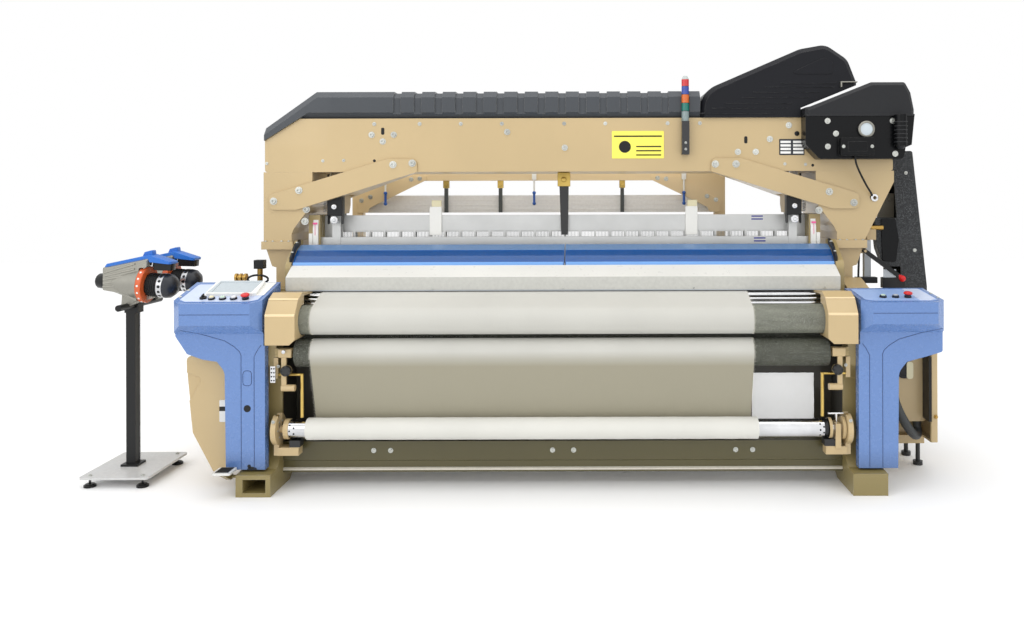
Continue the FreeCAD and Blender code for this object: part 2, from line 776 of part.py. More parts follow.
def on_lid(side, x, profile):
    """A piece turned about an axis square to the console's sloping top, in the buttons' row."""
    word = "left" if side < 0 else "right"
    tilt = Rotation(Vector(1, 0, 0), lid_tilt(side)[0]).multiply(TURN["z"])
    y = f"button_y_{word}"
    z = f"console_front_high + {y} * console_rise_{word} / console_depth_{word}"
    return turned("z", x, y, z, profile, tilt)


def controls():
    flat = [("-12", "0"), ("-12", "button_r"), ("15", "button_r"), ("16.5", "button_r - 2"),
            ("16.5", "0")]
    mushroom = [("-12", "0"), ("-12", "button_r"), ("17.5", "button_r"), ("18.5", "21"), ("20", "22"),
                ("26", "22"), ("30", "16"), ("31", "0")]
    for name, side, x in BUTTONS:
        keep(on_lid(side, x, mushroom if name.startswith("stop") else flat), name)
    screen = document.addObject("PartDesign::Body", "screen")
    angle, slope = lid_tilt(-1)
    place(screen, "0", "100", f"console_front_high + 100 * {slope}",
          Rotation(Vector(1, 0, 0), angle))
    outline = [("-1826", "0"), ("-1840", "188"), ("-1585", "188"), ("-1565", "0")]
    add(screen, "z", outline, "0", "16", {"14": [0, 1, 2, 3]})
    glass = [("-1800", "24"), ("-1812", "164"), ("-1610", "164"), ("-1596", "24")]
    remove(screen, "z", glass, "14", "17")
    keep(screen, "touch_screen")


def signal_lamp():
    """A column of lamps on a black bracket, on the overhead beam's front."""
    lamp = turned("z", "684", "532", "0", [
        ("1930", "0"), ("1930", "17"), ("1943", "21"), ("1985", "21"), ("1985", "19.5"), ("1988", "19.5"),
        ("1988", "21"), ("2030", "21"), ("2030", "19.5"), ("2033", "19.5"), ("2033", "21"),
        ("2078", "21"), ("2078", "19.5"), ("2081", "19.5"), ("2081", "21"), ("2124", "21"),
        ("2124", "19.5"), ("2127", "19.5"), ("2127", "21"), ("2166", "21"), ("2184", "12"), ("2184", "0"),
    ])
    post_bar = block("664", "518", "1742", "42", "26", "188")
    foot = block("664", "543", "1742", "42", "17", "200")
    return keep(fused(lamp, post_bar, foot), "signal_lamp")


def side_cover_left():
    body = new_body()
    outline = [
        ("-1946", "692"), ("-1790", "660"), ("-1752", "630"), ("-frame_outer", "630"),
        ("-frame_outer", "101"), ("-1735", "101"), ("-1802", "75"), ("-1915", "290"),
        ("-1944", "577"),
    ]
    add(body, "y", outline, "150", "900", {"24": [0, 6, 7, 8]})
    hollow = [
        ("-1932", "679"), ("-1790", "648"), ("-1752", "618"), ("-frame_outer - 6", "618"),
        ("-frame_outer - 6", "112"), ("-1738", "112"), ("-1797", "92"), ("-1903", "292"),
        ("-1932", "577"),
    ]
    remove(body, "y", hollow, "162", "901")
    dent = [("-1950", "603"), ("-1878", "577"), ("-1871", "560"), ("-1922", "465"), ("-1950", "440")]
    remove(body, "y", dent, "149", "158")
    return keep(body, "side_cover_left")


def electric_cabinet():
    body = new_body()
    case = [("1833", "272"), ("1833", "694"), ("1980", "694"), ("1980", "272")]
    add(body, "y", case, "400", "690", {"12": [0, 1, 2, 3]})
    hollow = [("1841", "280"), ("1841", "686"), ("1981", "686"), ("1981", "280")]
    remove(body, "y", hollow, "408", "682")
    plinth = [("1845", "520"), ("1968", "520"), ("1968", "686"), ("1845", "686")]
    add(body, "z", plinth, "174", "273")
    shelf = [("frame_outer", "480"), ("2005", "480"), ("2005", "720"), ("frame_outer", "720")]
    add(body, "z", shelf, "128", "174.5")
    for y in ("515", "690"):
        add_rounds(body, "z", [("1982", y, "12")], "20", "129")
        add_rounds(body, "z", [("1982", y, "26")], "0", "22")
    bracket = [("1940", "668"), ("2003", "668"), ("2003", "694"), ("1940", "694")]
    add(body, "z", bracket, "693.5", "699")
    add_rounds(body, "z", [("door_x", "door_y", "3")], "678", "694")
    add_rounds(body, "z", [("door_x", "door_y", "3")], "174", "190")
    keep(body, "electric_cabinet")
    door = new_body()
    sheet_plan = [("1981.5", "330"), ("2020", "330"), ("2020", "560"), ("2008", "600"),
                  ("2008", "688"), ("1981.5", "688")]
    add(door, "z", sheet_plan, "176", "692", {"8": [0, 1]})
    inner = [("1979", "345"), ("2012", "345"), ("2012", "556"), ("2002", "590"), ("2002", "676"),
             ("1979", "676")]
    remove(door, "z", inner, "186", "682")
    drill(door, "z", [("door_x", "door_y", "3.2")], "170", "192")
    drill(door, "z", [("door_x", "door_y", "3.2")], "676", "694")
    return keep(door, "cabinet_door")


def front_panel():
    body = new_body()
    section = [
        ("300", "1006"), ("300", "1077"), ("400", "1133"), ("404", "1127"), ("306", "1073"),
        ("306", "1012"), ("372", "1012"), ("372", "1006"),
    ]
    add(body, "x", section, "-cover_half", "cover_half", {"6": [0]})
    pin = rod("x", "-cheek_inner", "hinge_y", "hinge_z", "3", "2 * cheek_inner")
    return keep(group(body, pin), "front_panel")


def splash_cover(name, start, end):
    """A clear curved cover over the weaving zone, turned up about its front edge."""
    body = new_body()
    bow = [
        ("408", "1139"), ("440", "1178"), ("490", "1214"), ("548", "1238"), ("550", "1233"),
        ("493", "1209"), ("444", "1174"), ("413", "1136"),
    ]
    add(body, "x", bow, start, end, {"60": [1, 2, 5, 6]})
    add_rounds(body, "x", [("hinge_y", "hinge_z", "7")], start, end)
    drill(body, "x", [("hinge_y", "hinge_z", "3.4")], f"{start} - 1", f"{end} + 1")
    return keep(body, name)


def smooth_wire(points):
    """Straight runs joined by tangent arcs, each as large as its two runs allow."""
    edges = []
    start = points[0]
    for before, corner, after in zip(points, points[1:], points[2:]):
        inward = (before - corner).normalize()
        outward = (after - corner).normalize()
        reach = 0.45 * min((before - corner).Length, (after - corner).Length)
        turn = math.pi - inward.getAngle(outward)
        radius = reach / math.tan(turn / 2)
        first = corner + inward * reach
        last = corner + outward * reach
        bisector = (inward + outward).normalize()
        centre = corner + bisector * math.hypot(radius, reach)
        middle = centre + (corner - centre).normalize() * radius
        edges.append(Part.LineSegment(start, first).toShape())
        edges.append(Part.Arc(first, middle, last).toShape())
        print(f"bend radius {radius:.0f} mm")
        start = last
    edges.append(Part.LineSegment(start, points[-1]).toShape())
    return Part.Wire(edges)


def tube(name, points, radius):
    """A cable or hose that both its ends hold, along the route's points."""
    path = smooth_wire(points)
    direction = points[1] - points[0]
    ring = Part.Wire(Part.makeCircle(radius, points[0], direction))
    solid = path.makePipeShell([ring], True, False)
    share = solid.Volume / (math.pi * radius ** 2 * path.Length)
    print(f"{name}: volume over section times length {share:.4f}")
    piece = document.addObject("Part::Feature", "tube")
    piece.Shape = solid
    place(piece)
    return keep(piece, name)


def dobby_cable():
    route = [
        Vector(1612, 440, 1729), Vector(1612, 440, 1698), Vector(1634, 452, 1650),
        Vector(1668, 480, 1600), Vector(1706, 516, 1552), Vector(1740, 540, 1512),
        Vector(1750, 574, 1499),
    ]
    return tube("dobby_cable", route, 5.5)


def drain_hose():
    route = [
        Vector(1742, 250, 630), Vector(1742, 250, 540), Vector(1748, 254, 470),
        Vector(1770, 264, 395), Vector(1806, 280, 325), Vector(1848, 302, 262),
        Vector(1890, 336, 216), Vector(1932, 392, 196), Vector(1950, 436, 214),
        Vector(1950, 448, 244), Vector(1950, 448, 272),
    ]
    return tube("drain_hose", route, 24)


# ---------------------------------------------------------------- weaving parts

def comb_frame(body, outline, axis_start, axis_end, low, high):
    """A plate with a row of windows, so that upright bars stand between them."""
    add(body, "y", outline, axis_start, axis_end)
    left = "-dent_pitch * (bars + 1) / 2 + dent_bar / 2"
    right = "-dent_pitch * (bars - 1) / 2 - dent_bar / 2"
    window = [(left, low), (left, high), (right, high), (right, low)]
    first = remove(body, "y", window, f"{axis_start} - 1", f"{axis_end} + 1")
    pattern = body.newObject("PartDesign::LinearPattern", "comb")
    pattern.Originals = [first]
    axis = [item for item in body.Origin.OriginFeatures if item.Role == "X_Axis"][0]
    pattern.Direction = (axis, [""])
    bind(pattern, "Length", "dent_pitch * bars")
    pattern.Occurrences = int(SIZES["bars"]) + 1
    body.Tip = pattern


def heald_frame(number):
    body = new_body()
    foot = "heald_low_foot" if number < 2 else "heald_high_foot"
    front = f"heald_first + {number} * heald_pitch"
    back = f"{front} + heald_thick"
    plate = [("-heald_half", foot), ("-heald_half", f"{foot} + heald_high"),
             ("heald_half", f"{foot} + heald_high"), ("heald_half", foot)]
    comb_frame(body, plate, front, back, f"{foot} + stave_high",
               f"{foot} + heald_high - stave_high")
    hanger_top = "1496" if number < 2 else "1528"
    for side in (-1, 1):
        hanger = [("hanger_x - 24", f"{foot} + heald_high - 60"), ("hanger_x - 24", hanger_top),
                  ("hanger_x + 24", hanger_top), ("hanger_x + 24", f"{foot} + heald_high - 60")]
        add(body, "y", both(side, hanger), f"{front} - 3", back)
    return keep(body, f"heald_frame_{number + 1}")


def sley():
    shaft = rod("x", "-1495", "rock_y", "rock_z", "30", "2990")
    beam = new_body()
    section = [("532", "925"), ("532", "975"), ("548", "988"), ("572", "988"), ("604", "965"),
               ("604", "925")]
    add(beam, "x", section, "-1340", "1340")
    pieces = [shaft, beam]
    for x in (-1150, -400, 400, 1150):
        sword = new_body()
        outline = [("432", "540"), ("432", "600"), ("540", "926"), ("596", "926"), ("508", "540")]
        add(sword, "x", outline, f"{x - 18}", f"{x + 18}")
        pieces.append(sword)
    return keep(fused(*pieces), "sley")


def reed():
    body = new_body()
    plate = [("-1340", "988"), ("-1340", "1095"), ("1340", "1095"), ("1340", "988")]
    comb_frame(body, plate, "555", "562", "1000", "1082")
    return keep(body, "reed")


def main_shaft():
    shaft = turned("x", "0", "main_y", "main_z", steps(
        ("-1636", "-1300", "30"), ("-1300", "-1262", "110"), ("-1262", "1262", "30"),
        ("1262", "1300", "110"), ("1300", "1990", "30"), ("1990", "1996", "84"),
        ("1996", "2040", "76"), ("2040", "2046", "84"), ("2046", "2060", "30")))
    return keep(shaft, "main_shaft")


def drive_units():
    motor = turned("x", "0", "1240", "300", steps(
        ("frame_inner + frame_web", "1655", "60"), ("1655", "1668", "125"), ("1668", "1880", "105"),
        ("1880", "1925", "112")))
    let_off = turned("x", "0", "1600", "640", steps(
        ("frame_outer", "frame_outer + 12", "60"), ("frame_outer + 12", "frame_outer + 150", "72")))
    return keep(group(motor, let_off), "drive_units")


def warp_beam():
    body = turned("x", "0", "warp_y", "warp_z", steps(
        ("-shaft_half", "-1312", "30"), ("-1312", "-1290", "flange_r"),
        ("-1290", "965", "75"), ("965", "987", "flange_r"), ("987", "shaft_half", "30")))
    keep(body, "warp_beam")
    yarn = turned("x", "0", "warp_y", "warp_z", [
        ("warp_left", "75.05"), ("warp_left", "yarn_r"), ("warp_right", "yarn_r"), ("warp_right", "75.05")])
    return keep(yarn, "warp_yarn")


def warp_sheet():
    """The warp from the fell to the back-rest roller and down to the beam, open at the combs."""
    size = SIZES
    gap = size["running_gap"] + 1
    rest = (size["rest_y"], size["rest_z"], size["rest_r"] + gap)
    beam = (size["warp_y"], size["warp_z"], size["yarn_r"] + gap)
    fell = (size["fell_y"] + 0.5, size["fell_z"], 0.001)
    faces = []
    for offset in (1.0, -1.0):
        rest_c = (rest[0], rest[1], rest[2] + offset)
        beam_c = (beam[0], beam[1], beam[2] + offset)
        start, over = tangent((fell[0], fell[1] + offset, 0.001), rest_c, 1)
        leave, land = tangent(rest_c, beam_c, 1)
        faces.append([
            Part.LineSegment(Vector(0, fell[0], fell[1] + offset), over).toShape(),
            arc_between((rest[0], rest[1]), over, leave, -1),
            Part.LineSegment(leave, land).toShape(),
        ])
    ends = [
        Part.LineSegment(faces[0][0].Vertexes[0].Point, faces[1][0].Vertexes[0].Point).toShape(),
        Part.LineSegment(faces[0][-1].Vertexes[-1].Point, faces[1][-1].Vertexes[-1].Point).toShape(),
    ]
    wire = Part.Wire(Part.__sortEdges__(faces[0] + faces[1] + ends))
    wire.translate(Vector(size["warp_left"], 0, 0))
    width = size["warp_right"] - size["warp_left"]
    shape = Part.Face(wire).extrude(Vector(width, 0, 0))
    slots = []
    for number in range(-14, 11):
        slot = Part.makeBox(size["dent_bar"] + 12, 332, 120,
                            Vector(number * size["dent_pitch"] - size["dent_bar"] / 2 - 6, 489, 980))
        slots.append(slot)
    shape = shape.cut(slots)
    web = document.addObject("Part::Feature", "warp")
    web.Shape = shape
    place(web)
    return keep(web, "warp_sheet")


# ---------------------------------------------------------------- weft supply

def feeder_stand():
    plate = new_body()
    outline = [("-2510", "150"), ("-2510", "590"), ("-2150", "590"), ("-2150", "150")]
    add(plate, "z", outline, "45", "57", {"16": [0, 1, 2, 3]})
    pieces = [plate]
    for x in ("-2468", "-2193"):
        for y in ("184", "556"):
            pieces.append(turned("z", x, y, "0", steps(("0", "10", "30"), ("10", "16", "22"),
                                                       ("16", "46", "6"))))
    pieces.append(block("stand_x - 25", "stand_y - 25", "56", "50", "50", "834"))
    pieces.append(block("stand_x - 45", "stand_y - 45", "56", "90", "90", "14"))
    pieces.append(rod("y", "stand_x + 18", "190", "928", "17", "430"))
    pieces.append(block("stand_x - 30", "stand_y - 30", "885", "72", "60", "50"))
    return keep(fused(*pieces), "feeder_stand")


def weft_feeders():
    feeders = []
    for y in ("feeder_y_near", "feeder_y_far"):
        tilt = Rotation(Vector(0, 1, 0), SIZES["feeder_dip"])
        spindle = turned("x", "feeder_x", y, "feeder_z", [
            ("-262", "0"), ("-262", "28"), ("-250", "40"), ("-214", "42"), ("-212", "40"),
            ("-20", "92"), ("-14", "96"), ("16", "96"), ("18", "63"), ("79", "63"), ("81", "56"),
            ("108", "56"), ("110", "66"), ("136", "62"), ("158", "44"), ("168", "18"), ("168", "0"),
        ], tilt)
        case = document.addObject("PartDesign::Body", "case")
        place(case, "feeder_x", y, "feeder_z", tilt)
        side_view = [("-216", "79"), ("24", "148"), ("28", "98"), ("-16", "94"), ("-16", "-94"),
                     ("-36", "-90"), ("-120", "-52"), ("-208", "-44")]
        add(case, "y", side_view, "-56", "56", {"14": [0, 7]})
        lid = [("-214", "74"), ("-200", "96"), ("20", "160"), ("30", "160"), ("140", "133"),
               ("140", "118"), ("30", "122"), ("24", "140")]
        add(case, "y", lid, "-46", "46")
        lug = [("-24", "140"), ("-14", "172"), ("28", "186"), ("34", "150")]
        add(case, "y", lug, "-22", "22")
        sensor = [("30", "78"), ("30", "124"), ("138", "124"), ("138", "84")]
        add(case, "y", sensor, "-28", "28")
        foot = block("feeder_x - 116", f"{y} - 22", "945", "44", "44", "62")
        feeders.append(fused(spindle, case, foot))
    return keep(group(*feeders), "weft_feeders")


def water_pump():
    base = block("-1800", "560", "880", "160", "240", "17")
    body = block("-1784", "580", "896", "110", "190", "96")
    crank = rod("x", "-1700", "675", "945", "34", "40")
    return keep(fused(base, body, crank), "water_pump")


def foot_pedal():
    body = new_body()
    pad = [("-1735", "-40"), ("-1735", "58"), ("-frame_outer - 4", "58"), ("-frame_outer - 4", "-40")]
    add(body, "z", pad, "128", "140", {"14": [0, 1, 2, 3]})
    arm = [("-10", "120"), ("-10", "129"), ("52", "129"), ("114", "92"), ("114", "68"), ("84", "68")]
    add(body, "x", arm, "-1714", "-1690")
    drill(body, "x", [("100", "80", "8.1")], "-1720", "-1680")
    return keep(body, "foot_pedal")


def hand_lever():
    body = new_body()
    strut = [("1697.6", "1190.7"), ("1711.9", "1210"), ("1933.1", "1046.7"), ("1918.9", "1027.3")]
    add(body, "y", strut, "594", "606", {"6": [0, 1, 2, 3]})
    drill(body, "y", [("1716", "1192", "8.1")], "590", "610")
    ball = document.addObject("Part::Sphere", "ball")
    place(ball, "1930", "600", "1033")
    bind(ball, "Radius", "19")
    return keep(fused(body, ball), "hand_lever")


# ---------------------------------------------------------------- cloth take-up

def stack(y, z, *runs):
    """Turned solids on one X axis, end to end; each run is a list of (start, end, radius)."""
    return group(*[turned("x", "0", y, z, steps(*run)) for run in runs])


def roller(name, y, z, radius, journal):
    body = stack(y, z, [("-shaft_half", "-roller_half", journal)],
                 [("-roller_half", "roller_half", radius)],
                 [("roller_half", "shaft_half", journal)])
    return keep(body, name)


def cloth_rods():
    bars = []
    reach = "frame_inner - 1"
    for y, z, radius in (("lead_rod_y", "lead_rod_z", "rod_r"), ("215", "969", "rod_r"),
                         ("224", "943", "14"), ("340", "983", "16")):
        bars.append(rod("x", f"-({reach})", y, z, radius, f"2 * ({reach})"))
    for side in (-1, 1):
        plate = new_body()
        outline = [("195", "front_deck"), ("195", "980"), ("225", "988"), ("300", "988"), ("318", "1003"),
                 ("362", "1003"), ("362", "front_deck")]
        add(plate, "x", outline, *span(side, "frame_inner - 2", "frame_inner + 10"))
        bars.append(plate)
    return keep(fused(*bars), "cloth_rods")


def roller_covers():
    covers = []
    for side in (-1, 1):
        body = new_body()
        skin = [("20", "763"), ("20", "914"), ("74", "988"), ("136", "1016"), ("296", "1003"),
                ("296", "763")]
        add(body, "x", skin, *span(side, "1341", "1492"), {"8": [1, 2, 3]})
        hollow = [("28", "740"), ("28", "911"), ("79", "981"), ("138", "1008"), ("310", "994"),
                  ("310", "740")]
        remove(body, "x", hollow, *span(side, "1349", "1500"))
        drill(body, "x", [("roller_y", "take_up_z", "take_up_r + 5"),
                          ("roller_y", "guide_z", "guide_r + 5"),
                          ("press_y", "press_z", "press_r + 5")], *span(side, "1330", "1350"))
        way = [("160", "800"), ("160", "998"), ("310", "994.5"), ("310", "740"), ("230", "740")]
        remove(body, "x", way, *span(side, "1330", "1350"))
        corner = [("1335", "750"), ("1335", "796"), ("1371", "762"), ("1371", "750")]
        remove(body, "y", both(side, corner), "10", "300")
        covers.append(body)
    return keep(group(*covers), "roller_covers")


def cloth_beam():
    body = stack(
        "beam_y", "beam_z", [("-1476", "-1425", "20")],
        [("-1425", "-1400", "52"), ("-1400", "1341", "tube_r"), ("1341", "1362", "44"),
         ("1362", "1366", "24"), ("1366", "1382", "52")],
        [("1382", "1434", "20")], [("1434", "1449", "58")], [("1449", "1476", "20")])
    keep(body, "cloth_beam")
    roll = turned("x", "0", "beam_y", "beam_z", [
        ("roll_left", "tube_r + 0.05"), ("roll_left", "roll_r"), ("roll_right", "roll_r"),
        ("roll_right", "tube_r + 0.05")])
    return keep(roll, "cloth_roll")


def beam_holders():
    pieces = []
    for side in (-1, 1):
        hook = new_body()
        add_rounds(hook, "x", [("beam_y", "beam_z", "80")], *span(side, "1452", "1478"))
        leg = [("104", "184"), ("104", "260"), ("160", "260"), ("160", "184")]
        add(hook, "x", leg, *span(side, "1452", "1478"))
        beside = [("190", "180"), ("190", "430"), ("230", "430"), ("230", "180")]
        remove(hook, "x", beside, *span(side, "frame_inner - 1", "1480"))
        drill(hook, "x", [("beam_y", "beam_z", "20 + running_gap")], *span(side, "1450", "1480"))
        mouth = [("beam_y - 20.5", "beam_z"), ("beam_y - 20.5", "440"), ("beam_y + 20.5", "440"),
                 ("beam_y + 20.5", "beam_z")]
        remove(hook, "x", mouth, *span(side, "1450", "1480"))
        arm = [("100", "184"), ("100", "225"), ("160", "225"), ("160", "184")]
        add(hook, "x", arm, *span(side, "1350", "1460"))
        pieces.append(hook)
        low_x = span(side, "1344", "1398")[0]
        pieces.append(block(low_x, "102", "224", "54", "56", "37"))
        rail = span(side, "1326", "frame_inner")[0]
        pieces.append(rod("x", rail, "108", "598", "7", "frame_inner - 1326"))
        drop = span(side, "1334", "1334")[0]
        pieces.append(rod("z", drop, "108", "379", "9", "222"))
        plate_x = span(side, "frame_inner - 12", "frame_inner + 10")[0]
        pieces.append(block(plate_x, "98", "580", "22", "shelf_front - 98", "106"))
    bearing = new_body()
    seat = [("92", "216"), ("92", "342"), ("168", "342"), ("168", "216")]
    add(bearing, "x", seat, "1398", "1426")
    drill(bearing, "x", [("beam_y", "beam_z", "20 + running_gap")], "1390", "1430")
    pieces.append(bearing)
    pieces.append(rod("z", "1412", "beam_y", "341", "7", "44"))
    pieces.append(rod("x", "1370", "beam_y", "387", "6", "78"))
    return keep(fused(*pieces), "beam_holders")


def press_lever(side, name):
    body = new_body()
    start, end = span(side, "1378", "1442")
    clamp = [("70", "690"), ("70", "736"), ("116", "736"), ("116", "690")]
    add(body, "x", clamp, start, end, {"8": [0, 1, 2, 3]})
    arm = [("74", "540"), ("74", "691"), ("88", "691"), ("88", "540")]
    add(body, "x", arm, *span(side, "1404", "1428"))
    grip = span(side, "1360", "1428")
    add_rounds(body, "x", [("81", "536", "17")], *grip)
    add_rounds(body, "y", [(mirror_x(side, "1400"), "626", "26")], "52", "78")
    tie = [("72", "618"), ("72", "634"), ("86", "634"), ("86", "618")]
    add(body, "x", tie, *span(side, "1396", "1420"))
    drill(body, "x", [("96", "712", "9.1")], *span(side, "1370", "1450"))
    return keep(body, name)


def tangent(first, second, side):
    """Ends of the line that touches two circles (y, z, signed radius)."""
    y1, z1, r1 = first
    y2, z2, r2 = second
    distance = math.hypot(y2 - y1, z2 - z1)
    lean = math.atan2(z2 - z1, y2 - y1)
    normal = lean + side * math.acos((r1 - r2) / distance)
    start = Vector(0, y1 + r1 * math.cos(normal), z1 + r1 * math.sin(normal))
    end = Vector(0, y2 + r2 * math.cos(normal), z2 + r2 * math.sin(normal))
    return start, end


def arc_between(centre, start, end, way):
    """The arc about centre from start round to end; way is 1 against the clock seen from +X."""
    first = math.atan2(start.z - centre[1], start.y - centre[0])
    last = math.atan2(end.z - centre[1], end.y - centre[0])
    while (last - first) * way < 0:
        last += 2 * math.pi * way
    middle = (first + last) / 2
    radius = math.hypot(start.y - centre[0], start.z - centre[1])
    halfway = Vector(0, centre[0] + radius * math.cos(middle), centre[1] + radius * math.sin(middle))
    return Part.Arc(start, halfway, end).toShape()


def cloth_path(offset):
    """The cloth's side face as edges: from the fell, over the rod, round the rollers, down."""
    size = SIZES
    half = size["cloth_thick"] / 2
    gap = size["running_gap"]
    rod_c = (size["lead_rod_y"], size["lead_rod_z"])
    rod_r = size["rod_r"] + gap + half + offset
    up_c = (size["roller_y"], size["take_up_z"])
    up_r = size["take_up_r"] + gap + half + offset
    nip_c = (size["press_y"], size["press_z"])
    low_c = (size["roller_y"], size["guide_z"])
    low_r = size["guide_r"] + gap + half + offset
    roll_c = (size["beam_y"], size["beam_z"])
    roll_r = size["roll_r"] + gap + half - offset
    fell = Vector(0, size["fell_y"] - 4, size["fell_z"] + offset)
    a0, a1 = tangent((fell.y, fell.z, 0.001), (*rod_c, rod_r), -1)
    b0, b1 = tangent((*rod_c, rod_r), (*up_c, up_r), -1)
    touch_up = Vector(0, nip_c[0] - up_c[0], nip_c[1] - up_c[1]).normalize()
    c1 = Vector(0, up_c[0], up_c[1]) + touch_up * up_r
    touch_low = Vector(0, nip_c[0] - low_c[0], nip_c[1] - low_c[1]).normalize()
    d1 = Vector(0, low_c[0], low_c[1]) + touch_low * low_r
    e0, e1 = tangent((*low_c, low_r), (*roll_c, -roll_r), -1)
    return [
        Part.LineSegment(fell, a1).toShape(),
        arc_between(rod_c, a1, b0, 1),
        Part.LineSegment(b0, b1).toShape(),
        arc_between(up_c, b1, c1, 1),
        arc_between(nip_c, c1, d1, -1),
        arc_between(low_c, d1, e0, 1),
        Part.LineSegment(e0, e1).toShape(),
    ]


def cloth_web():
    half = SIZES["cloth_thick"] / 2
    outer = cloth_path(half)
    inner = cloth_path(-half)
    closing = [
        Part.LineSegment(outer[0].Vertexes[0].Point, inner[0].Vertexes[0].Point).toShape(),
        Part.LineSegment(outer[-1].Vertexes[-1].Point, inner[-1].Vertexes[-1].Point).toShape(),
    ]
    wire = Part.Wire(Part.__sortEdges__(outer + inner + closing))
    wire.translate(Vector(SIZES["cloth_left"], 0, 0))
    width = SIZES["cloth_right"] - SIZES["cloth_left"]
    shape = Part.Face(wire).extrude(Vector(width, 0, 0))
    web = document.addObject("Part::Feature", "cloth")
    web.Shape = shape
    place(web)
    return keep(web, "cloth_web")


# ---------------------------------------------------------------- build and write

def build():
    side_frame(-1, "side_frame_left")
    side_frame(1, "side_frame_right")
    cross_beams()
    upper_beam()
    post(-1, "post_left")
    post(1, "post_right")
    braces()
    rear_portal()
    beam_cover()
    hump_cover()
    dobby()
    drive_guard()
    console(-1, "console_left", "console_depth_left", "console_rise_left")
    console(1, "console_right", "console_depth_right", "console_rise_right")
    roller("take_up_roller", "roller_y", "take_up_z", "take_up_r", "shaft_r")
    roller("press_roller", "press_y", "press_z", "press_r", "press_shaft_r")
    roller("guide_roller", "roller_y", "guide_z", "guide_r", "shaft_r")
    cloth_rods()
    roller_covers()
    cloth_beam()
    beam_holders()
    press_lever(-1, "press_lever_left")
    press_lever(1, "press_lever_right")
    cloth_web()
    controls()
    signal_lamp()
    side_cover_left()
    electric_cabinet()
    front_panel()
    splash_cover("splash_cover_left", "-cover_half", "3")
    splash_cover("splash_cover_right", "9", "cover_half")
    for number in range(4):
        heald_frame(number)
    sley()
    reed()
    main_shaft()
    drive_units()
    warp_beam()
    warp_sheet()
    roller("back_rest_roller", "rest_y", "rest_z", "rest_r", "shaft_r")
    feeder_stand()
    weft_feeders()
    water_pump()
    foot_pedal()
    hand_lever()
    dobby_cable()
    drain_hose()


def check_and_write():
    document.recompute()
    faults = []
    for thing in document.Objects:
        if any(state in ("Invalid", "Error") for state in thing.State):
            faults.append(f"{thing.Label}: {thing.State}")
    for node in NODES:
        if node.Shape.isNull() or not node.Shape.isValid():
            faults.append(f"{node.Label}: shape")
    if faults:
        raise RuntimeError("; ".join(faults))
    os.makedirs("parts", exist_ok=True)
    for node in NODES:
        node.Shape.exportStep(f"parts/{node.Label}.step")
        print(node.Label, len(node.Shape.Solids), node.Shape.BoundBox)


build()
check_and_write()
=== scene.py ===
"""Looks of a water-jet power loom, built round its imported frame.

Lengths are loom millimetres until a mesh is finished: X = 0 is the loom's middle, Y = 0 the
front of its consoles and Z = 0 the floor. X runs to the right, Y back into the loom, Z up.
"""
import logging
import math
from dataclasses import dataclass, field, replace
from enum import Enum
from typing import Iterable, Sequence

import bmesh
import bpy
from mathutils import Matrix, Vector


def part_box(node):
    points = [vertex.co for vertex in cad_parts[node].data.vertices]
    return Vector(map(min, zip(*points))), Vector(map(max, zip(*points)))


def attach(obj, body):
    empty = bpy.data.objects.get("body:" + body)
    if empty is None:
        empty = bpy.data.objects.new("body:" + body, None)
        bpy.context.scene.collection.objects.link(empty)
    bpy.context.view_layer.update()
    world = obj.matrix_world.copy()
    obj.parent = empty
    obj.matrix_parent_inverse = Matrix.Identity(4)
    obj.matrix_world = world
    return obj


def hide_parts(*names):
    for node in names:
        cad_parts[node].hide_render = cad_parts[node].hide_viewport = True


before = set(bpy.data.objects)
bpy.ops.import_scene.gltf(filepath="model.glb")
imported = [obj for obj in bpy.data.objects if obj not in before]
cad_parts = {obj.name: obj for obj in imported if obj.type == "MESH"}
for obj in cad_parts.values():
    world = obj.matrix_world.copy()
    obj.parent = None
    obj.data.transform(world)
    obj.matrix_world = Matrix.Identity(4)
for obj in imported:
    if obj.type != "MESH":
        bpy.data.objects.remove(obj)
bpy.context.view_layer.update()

LOG = logging.getLogger("loom")
MM = 0.001
SHARP = math.radians(38)

Point = tuple[float, float, float]
Corner = tuple[float, float]
Colour = tuple[float, float, float]
Piece = bpy.types.Object
Socket = bpy.types.NodeSocket


# ---------------------------------------------------------------- places and shapes

@dataclass(frozen=True)
class LoomAxes:
    """Where the loom's own zero stands in the frame, in metres."""

    x: float
    y: float

    @classmethod
    def from_frame(cls) -> "LoomAxes":
        """Reads the loom's zero from its heald frames and its left console."""
        low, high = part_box("heald_frame_1")
        return cls((low.x + high.x) / 2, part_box("console_left")[0].y)

    def metres(self, spot: Sequence[float]) -> Vector:
        """A point given in loom millimetres, in metres of the frame."""
        return Vector((self.x + spot[0] * MM, self.y + spot[1] * MM, spot[2] * MM))


AXES = LoomAxes.from_frame()


class Axis(Enum):
    """The axis that a prism or a turned piece runs along."""

    X = 0
    Y = 1
    Z = 2

    def spot(self, along: float, first: float, second: float) -> Point:
        """X, Y and Z from a place along the axis and the two places across it."""
        across = [first, second]
        return tuple(across[:self.value] + [along] + across[self.value:])


X, Y, Z = Axis


